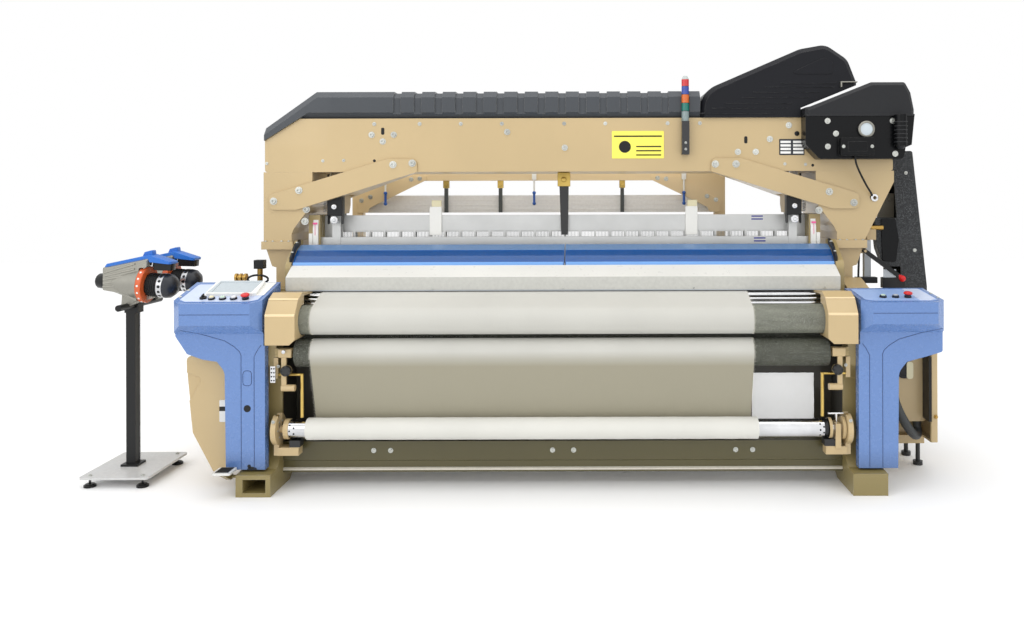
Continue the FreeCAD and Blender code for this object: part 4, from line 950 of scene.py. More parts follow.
# The cloth's darker tone where it hangs is painted shade.
CLOTH = Woven("water_jet_cloth", shade(192, 191, 184), 0.68, hanging_shade=shade(154, 149, 130), slot="cloth")
CLOTH_ROLL = Woven("wound_cloth", shade(214, 213, 206), 0.66, crease=0.12, slot="cloth")
YARN = Yarn("wound_yarn", shade(226, 222, 208), 0.6, slot="yarn")
THREAD = Plastic("warp_thread", shade(228, 224, 210), 0.6, sheen=0.3, slot="yarn")
# Painted shade for the loom's inner faces.
PAINTED_INSIDE_SHADE = shade(40, 37, 29)


def coat(finish: Finish, *nodes: str) -> None:
    """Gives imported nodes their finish.

    Args:
        finish: The finish.
        *nodes: The nodes that get it.
    """
    for node in nodes:
        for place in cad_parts[node].material_slots:
            place.material = finish.material()


@dataclass(frozen=True)
class ScrewRow:
    """Like screws: their head's radius, places, axis and the side that the heads stand on."""

    radius: float
    spots: Sequence[Point]
    axis: Axis = Y
    way: int = -1


def screws(name: str, *rows: ScrewRow, body: str = "frame") -> Piece:
    """One piece of all the screws in some rows.

    Args:
        name: The piece's name.
        *rows: The rows of like screws.
        body: The body that carries them.

    Returns:
        The piece.
    """
    shape = Shape(name)
    for row in rows:
        for spot in row.spots:
            shape.screw(row.axis, spot, row.radius, row.way)
    return shape.done(SCREW, 0, body)


class SubAssembly:
    """Pieces of the loom that are made and dressed together."""

    def build(self) -> list[Piece]:
        """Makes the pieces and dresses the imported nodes."""
        raise NotImplementedError


# ---------------------------------------------------------------- camera and studio

@dataclass
class Photographer:
    """The camera at the photograph's viewing angle."""

    stand: Point = (135.0, -4200.0, 1510.0)
    focal_pixels: float = 840.0
    picture_width: float = 1024.0
    picture_height: float = 623.0
    aim_x: float = 588.0
    aim_y: float = 196.0
    roll: float = 0.15

    def build(self) -> None:
        """Makes the camera."""
        data = bpy.data.cameras.new("photographer")
        data.sensor_width = 36.0
        data.lens = self.focal_pixels * data.sensor_width / self.picture_width
        data.shift_x = (self.picture_width / 2 - self.aim_x) / self.picture_width
        data.shift_y = (self.aim_y - self.picture_height / 2) / self.picture_width
        data.clip_end = 60.0
        camera = placed("photographer", data)
        camera.location = AXES.metres(self.stand)
        camera.rotation_euler = (math.radians(90), math.radians(self.roll), 0)
        bpy.context.scene.camera = camera


@dataclass
class Studio:
    """A pale floor and soft light."""

    floor_half: float = 14.0
    surround: float = 0.62
    dome: float = 1.9
    dome_tilt: Corner = (24.0, -8.0)
    lights: tuple[tuple[str, Point, Point, Corner, float], ...] = (
        ("overhead", (0.0, -1.2, 5.2), (0.2, 0.0, 0.8), (6.5, 4.0), 60.0),
        ("front_left", (-4.2, -5.4, 3.4), (0.0, 0.0, 0.9), (3.4, 2.6), 36.0),
        ("behind", (0.5, 5.2, 3.6), (0.0, 0.0, 1.0), (5.0, 2.4), 40.0),
        ("over_warp", (-0.05, 0.1, 1.72), (-0.05, 0.39, 1.5), (2.3, 0.1), 1.1),
    )

    def build(self) -> None:
        """Makes the floor, the surrounding light and the lamps."""
        self.floor()
        self.backdrop()
        dome = bpy.data.lights.new("dome", "SUN")
        dome.energy = self.dome
        dome.angle = math.radians(150)
        placed("dome", dome).rotation_euler = (*map(math.radians, self.dome_tilt), 0)
        for name, stand, aim, size, power in self.lights:
            data = bpy.data.lights.new(name, "AREA")
            data.shape = "RECTANGLE"
            data.size, data.size_y = size
            data.energy = power
            lamp = placed(name, data)
            lamp.location = stand
            lamp.rotation_euler = (Vector(aim) - Vector(stand)).to_track_quat("-Z", "Y").to_euler()
        bpy.context.scene.view_settings.view_transform = "Standard"

    def floor(self) -> None:
        """Makes the pale floor just under the loom's feet."""
        half = self.floor_half
        mesh = bpy.data.meshes.new("floor")
        corners = rectangle((-half, -half), (half, half))
        mesh.from_pydata([(x, y, -0.0004) for x, y in corners], [], [(0, 1, 2, 3)])
        graph = Graph("pale_floor")
        tone = graph.mix(graph.noise(1.1, 3.0), (0.93, 0.93, 0.93, 1), (0.96, 0.96, 0.96, 1))
        graph.feed(graph.shader.inputs["Base Color"], tone)
        graph.shader.inputs["Roughness"].default_value = 0.7
        mesh.materials.append(graph.material)
        placed("floor", mesh)

    def backdrop(self) -> None:
        """A white surround that lights the loom less than it shows, like a lit wall far behind."""
        world = bpy.data.worlds.new("studio")
        bpy.context.scene.world = world
        world.use_nodes = True
        tree = world.node_tree
        background = tree.nodes["Background"].inputs
        background["Color"].default_value = (1.0, 1.0, 1.0, 1.0)
        seen = tree.nodes.new("ShaderNodeLightPath").outputs["Is Camera Ray"]
        level = tree.nodes.new("ShaderNodeMapRange")
        level.inputs["To Min"].default_value = self.surround
        level.inputs["To Max"].default_value = 1.0
        tree.links.new(seen, level.inputs["Value"])
        tree.links.new(level.outputs[0], background["Strength"])


# ---------------------------------------------------------------- cords

@dataclass
class Cord:
    """A cable or hose that both its ends hold."""

    name: str
    node: str
    radius: float
    length: float
    route: tuple[Point, ...]
    finish: Finish

    def build(self) -> Piece:
        """Makes the cord along its route."""
        data = bpy.data.curves.new(self.name, "CURVE")
        data.dimensions = "3D"
        data.bevel_depth = self.radius * MM
        data.bevel_resolution = 4
        data.use_fill_caps = True
        line = data.splines.new("NURBS")
        line.points.add(len(self.route) - 1)
        for point, spot in zip(line.points, self.route):
            point.co = (*AXES.metres(spot), 1.0)
        line.order_u = 3
        line.use_endpoint_u = True
        line.resolution_u = 12
        data.materials.append(self.finish.material())
        piece = placed(self.name, data)
        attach(piece, "frame")
        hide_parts(self.node)
        AXES.metres(self.route[0])
        return piece


@dataclass
class Cords(SubAssembly):
    """The dobby's control cable and the drain hose."""

    cable: tuple[Point, ...] = (
        (1612, 440, 1729), (1612, 440, 1698), (1634, 452, 1650), (1668, 480, 1600),
        (1706, 516, 1552), (1740, 540, 1512), (1750, 574, 1499),
    )
    hose: tuple[Point, ...] = (
        (1742, 250, 630), (1742, 250, 540), (1748, 254, 470), (1770, 264, 395), (1806, 280, 325),
        (1848, 302, 262), (1890, 336, 216), (1932, 392, 196), (1950, 436, 214), (1950, 448, 244),
        (1950, 448, 272),
    )

    def build(self) -> list[Piece]:
        """Makes both cords."""
        return [Cord("control_cable", "dobby_cable", 5.5, 0.31, self.cable, RUBBER).build(),
                Cord("water_drain_hose", "drain_hose", 24.0, 0.64, self.hose, HOSE).build()]


# ---------------------------------------------------------------- overhead beam and posts

@dataclass
class OverheadBeam(SubAssembly):
    """The box beam, its posts and braces, and what is screwed to their front."""

    front: float = 560.0
    brace_front: float = 548.0
    top_row: float = 1921.0
    top_screws: tuple[float, ...] = (-1075, -818, -585, -352, 1, 234, 587, 770)
    small_screws: tuple[Corner, ...] = ((-1684, 1699), (-1367, 1713), (-1249, 1715), (1251, 1689),
                                        (1368, 1686))
    bolts: tuple[Corner, ...] = ((-1090, 1860), (-965, 1860), (-1027, 1822), (-322, 1874), (4, 1784),
                                 (985, 1758), (1086, 1758), (1166, 1830), (1274, 1908))
    keyholes: tuple[Corner, ...] = ((-1027, 1884), (1030, 1830))
    holes: tuple[tuple[float, float, float], ...] = ((-1075, 1713, 9), (1320, 1861, 15), (1409, 1681, 9))
    brace_bolts: tuple[Corner, ...] = ((-1642, 1485), (-1499, 1546), (-967, 1690), (-858, 1698),
                                       (855, 1689), (972, 1689), (1499, 1531), (1638, 1469))
    post_bolts: tuple[Corner, ...] = ((-1461, 1438), (-1469, 1370), (1443, 1426))
    plate: tuple[Corner, Corner] = ((271, 1722), (566, 1878))
    rating: tuple[Corner, Corner] = ((1219, 1739), (1362, 1830))

    def build(self) -> list[Piece]:
        """Dresses the beam and screws its fasteners and plates on."""
        coat(TAN, "post_left", "post_right", "braces")
        guide = Zone((-60, 686, 1270), (60, 714, 1649.5), shade(24, 25, 26))
        coat(zoned("beam_enamel", TAN, guide), "upper_beam")
        row = [(x, self.top_row) for x in self.top_screws]
        return [
            screws("beam_screws", ScrewRow(7.5, facing(self.front, *row)),
                   ScrewRow(6.0, facing(self.front, *self.small_screws)),
                   ScrewRow(12.0, facing(self.front, *self.bolts)),
                   ScrewRow(14.0, facing(self.brace_front, *self.brace_bolts)),
                   ScrewRow(14.0, facing(self.front, *self.post_bolts))),
            self.hole_rims(), *self.plates(),
            screws("flange_screws", ScrewRow(6.0, [
                (side * distance, 555, 1257) for side in SIDES for distance in (1560, 1600, 1650, 1690)],
                Z, 1)),
            *self.fittings(),
        ]

    def hole_rims(self) -> Piece:
        """Dark blind holes, and the keyholes with a pin across them."""
        shape = Shape("beam_holes")
        for x, z, radius in self.holes:
            shape.lathe(Y, (x, self.front, z), [(-0.8, 0), (-0.8, radius - 2), (0.4, radius)], 24)
        for x, z in self.keyholes:
            slot = rounded(rectangle((x - 9, z - 24), (x + 9, z + 16)), 9)
            shape.prism(Y, slot, self.front - 1.2, self.front + 0.4)
        return shape.done(BLACK, 0)

    def plates(self) -> list[Piece]:
        """A yellow plate with plain shapes on it, and a bare plate of dark and pale fields."""
        (left, low), (right, high) = self.plate
        middle = (left + right) / 2
        marks = [rectangle((left + 12, high - 34), (right - 12, high - 26))]
        marks += [rectangle((middle - 10, low + z), (right - 16, low + z + 7)) for z in (16, 40, 64)]
        marks.append(arc((middle - 74, (low + high) / 2 - 12), 34, 34, math.pi / 14, 28))
        (left, low), (right, _) = self.rating
        half = (right - left) / 2
        cells = [rectangle((x, low + z), (x + half - 13, low + z + 13))
                 for z in (8, 28, 48, 68) for x in (left + 7, left + 7 + half)]
        pieces = []
        for name, corners, soft, thick, print_high, fields, back, ink in (
                ("yellow_plate", self.plate, 6, 2.2, 0.7, marks, YELLOW, BLACK_MARK),
                ("rating_plate", self.rating, 5, 2.0, 0.6, cells, DARK_COLLAR, WHITE_MARK)):
            face = self.front - thick
            plate = Shape(name).prism(Y, rounded(rectangle(*corners), soft), face, self.front)
            printed = Shape(f"{name}_fields")
            for outline in fields:
                printed.prism(Y, outline, face + 0.1 - print_high, face + 0.1)
            pieces += [plate.done(back, 0.3), printed.done(ink, 0)]
        return pieces

    def fittings(self) -> list[Piece]:
        """The brass clamp of the middle guide, and the bright bush that the dobby's cable goes into."""
        clamp = Shape("guide_clamp").block((-42, 684, 1566), (32, 716, 1648))
        clamp.lathe(Y, (-5, 684, 1606), [(0, 15), (-8, 15), (-10, 12), (-10, 0)], 20)
        bush = Shape("cable_bush")
        bush.lathe(Y, (1757, 556, 1496), [(2, 21), (-4, 21), (-6, 17), (-6, 10), (1, 9)])
        return [clamp.done(ZINC, 2.5), bush.done(CHROME, 0.5)]


# ---------------------------------------------------------------- covers and dobby

@dataclass
class TopCovers(SubAssembly):
    """The ribbed cover over the beam and the raised one over the dobby's drive."""

    front: float = 545.0
    ledges: tuple[tuple[float, float, float], ...] = (
        (768, 1225, 1974), (838, 1262, 2003), (909, 1287, 2031), (1005, 1383, 2064),
        (1070, 1440, 2093), (1140, 1530, 2122), (1225, 1540, 2143),
    )
    panel: tuple[Corner, ...] = ((1262, 2196), (1519, 2196), (1519, 2266), (1470, 2290))
    fold: tuple[Corner, ...] = ((1560, 2120), (1560, 2152), (1654, 2152), (1654, 2146), (1568, 2146),
                                (1568, 2120))

    def build(self) -> list[Piece]:
        """Dresses the covers and adds the pressed ledges, the corner panel and a folded bracket."""
        # The covers' two tones of one enamel are painted light and painted shade.
        coat(LIT_SLATE, "beam_cover")
        coat(SHADED_SLATE, "hump_cover")
        foot, face = self.front + 1, self.front - 3.5
        ledges = Shape("cover_ledges")
        for left, right, z in self.ledges:
            ledges.prism(X, [(foot, z - 3), (face, z - 1.5), (face, z + 1.5), (foot, z + 6)], left, right)
        panel = Shape("cover_corner_panel").prism(Y, rounded(self.panel, 16), self.front - 4, foot)
        bracket = Shape("cover_bracket").prism(Y, self.fold, 528, 548)
        return [ledges.done(SHADED_SLATE, 0.6), panel.done(SHADED_SLATE, 1.5), bracket.done(replace(CASTING, slot=PLATED))]


@dataclass
class Dobby(SubAssembly):
    """The dobby's case and hood, and the fittings on its front."""

    front: float = 460.0
    bolts: tuple[Corner, ...] = ((1465, 1923), (1511, 1853), (1466, 1781), (1826, 1923), (1840, 1740))
    glass: Point = (1677, 448, 1876)
    box_screws: tuple[Corner, ...] = ((1541, 1779), (1698, 1779))
    filter_spot: Corner = (1860, 430)

    def build(self) -> list[Piece]:
        """Dresses the case and adds bolts, sight glass, terminal lid, filter fins and the hood's lip."""
        coat(DOBBY_GLOSS, "dobby_case")
        coat(DOBBY_MATT, "dobby_cover")
        ring = Shape("sight_ring").lathe(Y, self.glass, [(2, 46), (-5, 46), (-8, 42), (-8, 36), (-3, 34)], 40)
        ridges = [(-2.5 - step % 2 * 2.0, 34 - step * 3.8) for step in range(9)]
        glass = Shape("sight_glass").lathe(Y, self.glass, [(-2.5, 34.5), *ridges, (-4, 0)], 40)
        lid = Shape("terminal_lid").prism(Y, rounded(rectangle((1534, 1736), (1703, 1822)), 8), 417, 420.5)
        lid.prism(Y, rounded(rectangle((1566, 1752), (1672, 1806)), 6), 415, 418)
        lip = Shape("hood_lip").prism(Y, rectangle((1346, 1950), (1946, 1960)), 452, 457)
        return [screws("dobby_bolts", ScrewRow(11.0, facing(self.front, *self.bolts)),
                       ScrewRow(6.5, facing(417, *self.box_screws))),
                ring.done(CASTING), glass.done(GLASS, 0), lid.done(DOBBY_GLOSS, 1.2),
                self.filter_fins(), lip.done(replace(DOBBY_MATT, slot="dobby_cover"), 1.0)]

    def filter_fins(self) -> Piece:
        """Rings and a cap round the oil filter."""
        shape = Shape("filter_fins")
        for step in range(6):
            centre = (*self.filter_spot, 1800 + step * 22)
            shape.lathe(Z, centre, [(0, 32), (0, 36), (6, 36), (6, 32)])
        shape.lathe(Z, (*self.filter_spot, 1782), [(-16, 0), (-16, 14), (-10, 20), (0, 22), (0, 0)])
        return shape.done(DOBBY_MATT)


@dataclass
class SignalLamp(SubAssembly):
    """The lamp column: one coloured lens above another."""

    x: float = 684.0
    bands: tuple[tuple[float, float, Colour], ...] = (
        (1742, 1930, shade(20, 21, 23)), (1930, 1984, shade(126, 142, 142)),
        (1988, 2030, shade(2, 108, 96)), (2033, 2078, shade(200, 98, 30)),
        (2081, 2124, shade(42, 66, 150)), (2127, 2164, shade(196, 44, 50)),
        (2164, 2186, shade(176, 184, 182)),
    )

    def build(self) -> list[Piece]:
        """Colours the column by its height and screws it to its bracket."""
        zones = [Zone((600, 480, low), (760, 575, high), colour, 0.25) for low, high, colour in self.bands]
        coat(zoned("lamp_column", Glowing("lamp_lens", shade(60, 62, 64), 0.25), *zones), "signal_lamp")
        return [screws("lamp_screws", ScrewRow(5.0, facing(518, (self.x + 1, 1772), (self.x + 1, 1808))))]


# ---------------------------------------------------------------- rear portal

@dataclass
class RearPortal(SubAssembly):
    """The portal behind the heald frames and what hangs on it."""

    gusset_front: float = 1337.0
    middle: float = -190.0
    bars: tuple[float, ...] = (-805, -445, 362)
    rods: tuple[float, ...] = (-1197, -219, 766)

    def build(self) -> list[Piece]:
        """Dresses the portal and adds its bolts, the screen's folded seams and what hangs there."""
        zones = [Zone((x - 20, 1364, 1402), (x + 20, 1386.5, 1562), shade(62, 66, 64), 0.35, 0.2)
                 for x in self.bars]
        zones.append(Zone((-1352, 1387, 1401), (972, 1393, 1517), SCREEN_WHITE.colour))
        # The portal's paler tan is painted light.
        coat(zoned("portal_parts", LIT_TAN, *zones), "rear_portal")
        bolts = [(self.middle + side * distance, z) for side in SIDES
                 for distance, z in ((1168, 1484), (1110, 1507), (840, 1622), (784, 1628))]
        seams = Shape("screen_seams")
        for z in (1420, 1452, 1484):
            seams.block((-1345, 1386.4, z), (965, 1388.4, z + 4))
        return [screws("portal_bolts", ScrewRow(10.0, facing(self.gusset_front, *bolts))),
                seams.done(SCREEN_WHITE, 0.5), self.clamps(), *self.eye_rods()]

    def clamps(self) -> Piece:
        """Yellow clamps at the top of the hanging bars."""
        shape = Shape("bar_clamps")
        for x in self.bars:
            shape.block((x - 19, 1360, 1564), (x + 19, 1393, 1614))
            shape.lathe(Y, (x, 1360, 1586), [(0, 12), (-9, 12), (-9, 0)], 16)
        return shape.done(ZINC, 2.0)

    def eye_rods(self) -> list[Piece]:
        """White rods that hang from the portal, with blue ball eyes and lower ends."""
        rods, eyes = Shape("eye_rods"), Shape("ball_eyes")
        half_turn = arc((0, 0), -12, 12, math.pi / 8, 9)
        profile = [(-12, 0), *half_turn[1:-1], (12, 0)]
        for x in self.rods:
            rods.bar(Z, (x, 1325, 1525), 6, 120).block((x - 14, 1316, 1618), (x + 14, 1346, 1664))
            for z in (1532, 1462):
                eyes.lathe(Z, (x, 1325, z), profile, 20)
            eyes.bar(Z, (x, 1325, 1465), 8, 62)
        return [rods.done(WHITE_PLASTIC, 0.6), eyes.done(BALL_BLUE, 0)]


# ---------------------------------------------------------------- heald frames, sley and reed

@dataclass
class HealdFrame:
    """One heald frame: its wires, label stripes and end blocks."""

    number: int
    front: float
    foot: float
    half: float = 1425.0
    stave: float = 90.0
    high: float = 560.0
    wires: int = 330

    def build(self) -> list[Piece]:
        """Dresses the frame, fills it with its wires and adds rails and coloured stripes."""
        node = f"heald_frame_{self.number}"
        coat(ALUMINIUM, node)
        low, high = self.foot + self.stave, self.foot + self.high - self.stave
        rails, stripes = Shape(f"heald_rails_{self.number}"), Shape(f"heald_stripes_{self.number}")
        reach = self.half - 46
        for z in (low, high - 7):
            rails.block((-reach, self.front + 2.5, z), (reach, self.front + 9.5, z + 7))
        for z in (self.foot + self.high - 14, self.foot + self.high - 31):
            stripes.block((1090, self.front - 0.5, z), (1157, self.front + 0.1, z + 8))
        pieces = [self.heald_wires(low - 2, high + 2).done(REED_STEEL, 0, node),
                  rails.done(ALUMINIUM, 0.6, node), stripes.done(LABEL_BLUE, 0, node)]
        return pieces + (self.stave_blocks(node) if self.number == 3 else [])

    def heald_wires(self, low: float, high: float) -> Shape:
        """Flat steel wires, each widened round its eye, between two heights.

        Args:
            low: The lower ends.
            high: The upper ends.

        Returns:
            The wires.
        """
        shape = Shape(f"heald_wires_{self.number}")
        middle, eye, reach = self.front + 6, (low + high) / 2, self.half - 50
        waists = ((low, 0.9), (eye - 12, 0.9), (eye, 2.4), (eye + 12, 0.9), (high, 0.9))
        for index in range(self.wires):
            x = -reach + 2 * reach * index / (self.wires - 1)
            shape.skin([[(x - wide, middle, z), (x + wide, middle, z)] for z, wide in waists])
        return shape

    def stave_blocks(self, node: str) -> list[Piece]:
        """White blocks clipped over the stave, with their ivory heads.

        Args:
            node: The heald frame that carries them.

        Returns:
            The blocks and the heads.
        """
        blocks, heads = Shape("stave_blocks"), Shape("stave_heads")
        for low, high in ((-790, -720), (704, 774)):
            blocks.block((low, self.front - 11, 1284), (high, self.front, 1450))
            blocks.block((low + 8, self.front - 4, 1401), (high, self.front + 12, 1450))
            heads.block((low + 12, self.front - 9, 1450), (high - 2, self.front + 11, 1487))
        return [blocks.done(WHITE_PLASTIC, 2.0, node), heads.done(IVORY, 1.5, node)]


@dataclass
class WeavingZone(SubAssembly):
    """Heald frames, their guides and lifts, the sley and the reed."""

    first: float = 640.0
    pitch: float = 36.0
    feet: tuple[float, ...] = (716.0, 716.0, 840.0, 840.0)
    lift_x: float = 1314.0
    reed_half: float = 1325.0
    dents: int = 520

    def build(self) -> list[Piece]:
        """Builds the frames and the parts round them."""
        pieces: list[Piece] = []
        for index, foot in enumerate(self.feet):
            pieces += HealdFrame(index + 1, self.first + index * self.pitch, foot).build()
        coat(CASTING, "sley")
        coat(REED_STEEL, "reed")
        dents = Shape("reed_dents")
        for index in range(self.dents):
            x = -self.reed_half + 2 * self.reed_half * index / (self.dents - 1)
            dents.skin([[(x - 0.7, 557, z), (x + 0.7, 560, z)] for z in (1000, 1083)])
        blocks, threads = self.guides()
        return [*pieces, dents.done(REED_STEEL, 0, "sley"), blocks, *self.lifting_gear(), threads]

    def guides(self) -> list[Piece]:
        """White blocks and pink pull threads at the guides on both ends of the frames."""
        blocks, threads = Shape("guide_blocks"), Shape("pull_threads")
        outline = [(598, 1208), (598, 1330), (612, 1378), (640, 1392), (640, 1406), (700, 1406), (700, 1208)]
        for side in SIDES:
            blocks.prism(X, rounded(outline, 5), *mirrored(side, 1408, 1438))
            blocks.prism(X, rounded(rectangle((600, 1212), (620, 1300)), 4), *mirrored(side, 1440, 1462))
            x = side * 1424
            threads.block((x - 13, 596, 1352), (x + 13, 598.5, 1362))
            threads.block((x - 1, 594.5, 1290), (x + 1, 596.5, 1352))
        return [blocks.done(WHITE_PLASTIC, 1.5), threads.done(PINK, 0)]

    def lifting_gear(self) -> list[Piece]:
        """Black brackets over each pair of cheeks, with rollers and a spring coil beside them."""
        brackets, rollers, springs = Shape("lift_brackets"), Shape("lift_rollers"), Shape("lift_springs")
        cheek = rounded([(606, 1352), (606, 1640), (660, 1640), (660, 1420), (640, 1352)], 10)
        for side in SIDES:
            for low, high in ((-42, -36.8), (36.8, 42)):
                brackets.prism(X, cheek, *mirrored(side, self.lift_x + low, self.lift_x + high))
            brackets.prism(X, rounded(rectangle((600, 1400), (616, 1600)), 5),
                           *mirrored(side, self.lift_x - 42, self.lift_x + 42))
            for z, radius in ((1376, 22), (1452, 15), (1530, 15)):
                rollers.lathe(Y, (side * self.lift_x, 600, z), [
                    (2, 0), (2, radius), (-12, radius), (-14, radius - 4), (-14, radius * 0.45),
                    (-20, radius * 0.4), (-20, 0)], 24)
            coil = arc((side * (self.lift_x + 66), 640), 9, 9, math.pi / 5, 151)
            springs.tube([(*spot, 1420 + step) for step, spot in enumerate(coil)], 1.8, 6)
        return [brackets.done(BLACK, 1.2), rollers.done(CHROME, 0.6), springs.done(STEEL, 0)]


@dataclass
class FrontCovers(SubAssembly):
    """The white front panel and the clear covers above it."""

    half: float = 1487.0
    strip: tuple[Corner, ...] = ((401.5, 1131), (401.5, 1145), (405, 1150), (408, 1148), (404.5, 1143),
                                 (404.5, 1131))
    bracket: tuple[Corner, ...] = ((398, 1150), (398, 1176), (470, 1246), (540, 1268), (552, 1268),
                                   (552, 1240), (480, 1214), (412, 1150))

    def build(self) -> list[Piece]:
        """Dresses the covers, with painted shade on the panel's front face and a painted highlight along the
        clear covers' top, and adds the panel's screws and the shaded fold under its face.
        """
        # The panel's upright front face is painted darker than its slope: painted shade.
        face = Zone((-1500, 295, 1000), (1500, 301.5, 1080), shade(190, 190, 184), 0.35)
        coat(zoned("panel_faces", WHITE_PANEL, face), "front_panel")
        # The pale band along the clear covers' top is a painted highlight; a darker blue band lies below it.
        banded = zoned("clear_blue_bands", CLEAR_BLUE,
                       Zone((-1500, 400, 1210), (1500, 560, 1242), shade(132, 170, 216), 0.2),
                       Zone((-1500, 400, 1160), (1500, 479, 1208), shade(34, 98, 172), 0.15))
        coat(banded, "splash_cover_left", "splash_cover_right")
        fold = Shape("panel_fold").block((-self.half + 3, 299.4, 1004), (self.half - 3, 301.4, 1009))
        spots = [(x, 300, 1016) for x in (-1400, -700, 0, 700, 1400)]
        return [*self.edge_strips(), *self.end_brackets(), screws("panel_screws", ScrewRow(4.5, spots)),
                fold.done(GRIP, 0)]

    def edge_strips(self) -> list[Piece]:
        """The bright folded strip along each clear cover's lower edge."""
        pieces = []
        for name, start, end in (("left", 4 - self.half, -1), ("right", 13, self.half - 4)):
            shape = Shape(f"splash_edge_{name}").prism(X, self.strip, start, end)
            pieces.append(shape.done(EDGE_BLUE, 0.4, f"splash_cover_{name}"))
        return pieces

    def end_brackets(self) -> list[Piece]:
        """Black brackets at the covers' outer ends, each with two bright screws."""
        bracket = Shape("splash_brackets")
        for side in SIDES:
            bracket.prism(X, rounded(self.bracket, 8), *mirrored(side, self.half + 2, self.half + 14))
        spots = [(side * (self.half + 8), y, z) for side in SIDES for y, z in ((430, 1202), (500, 1252))]
        return [bracket.done(BLACK, 1.2), screws("splash_screws", ScrewRow(7.0, spots, Z, 1))]


# ---------------------------------------------------------------- consoles

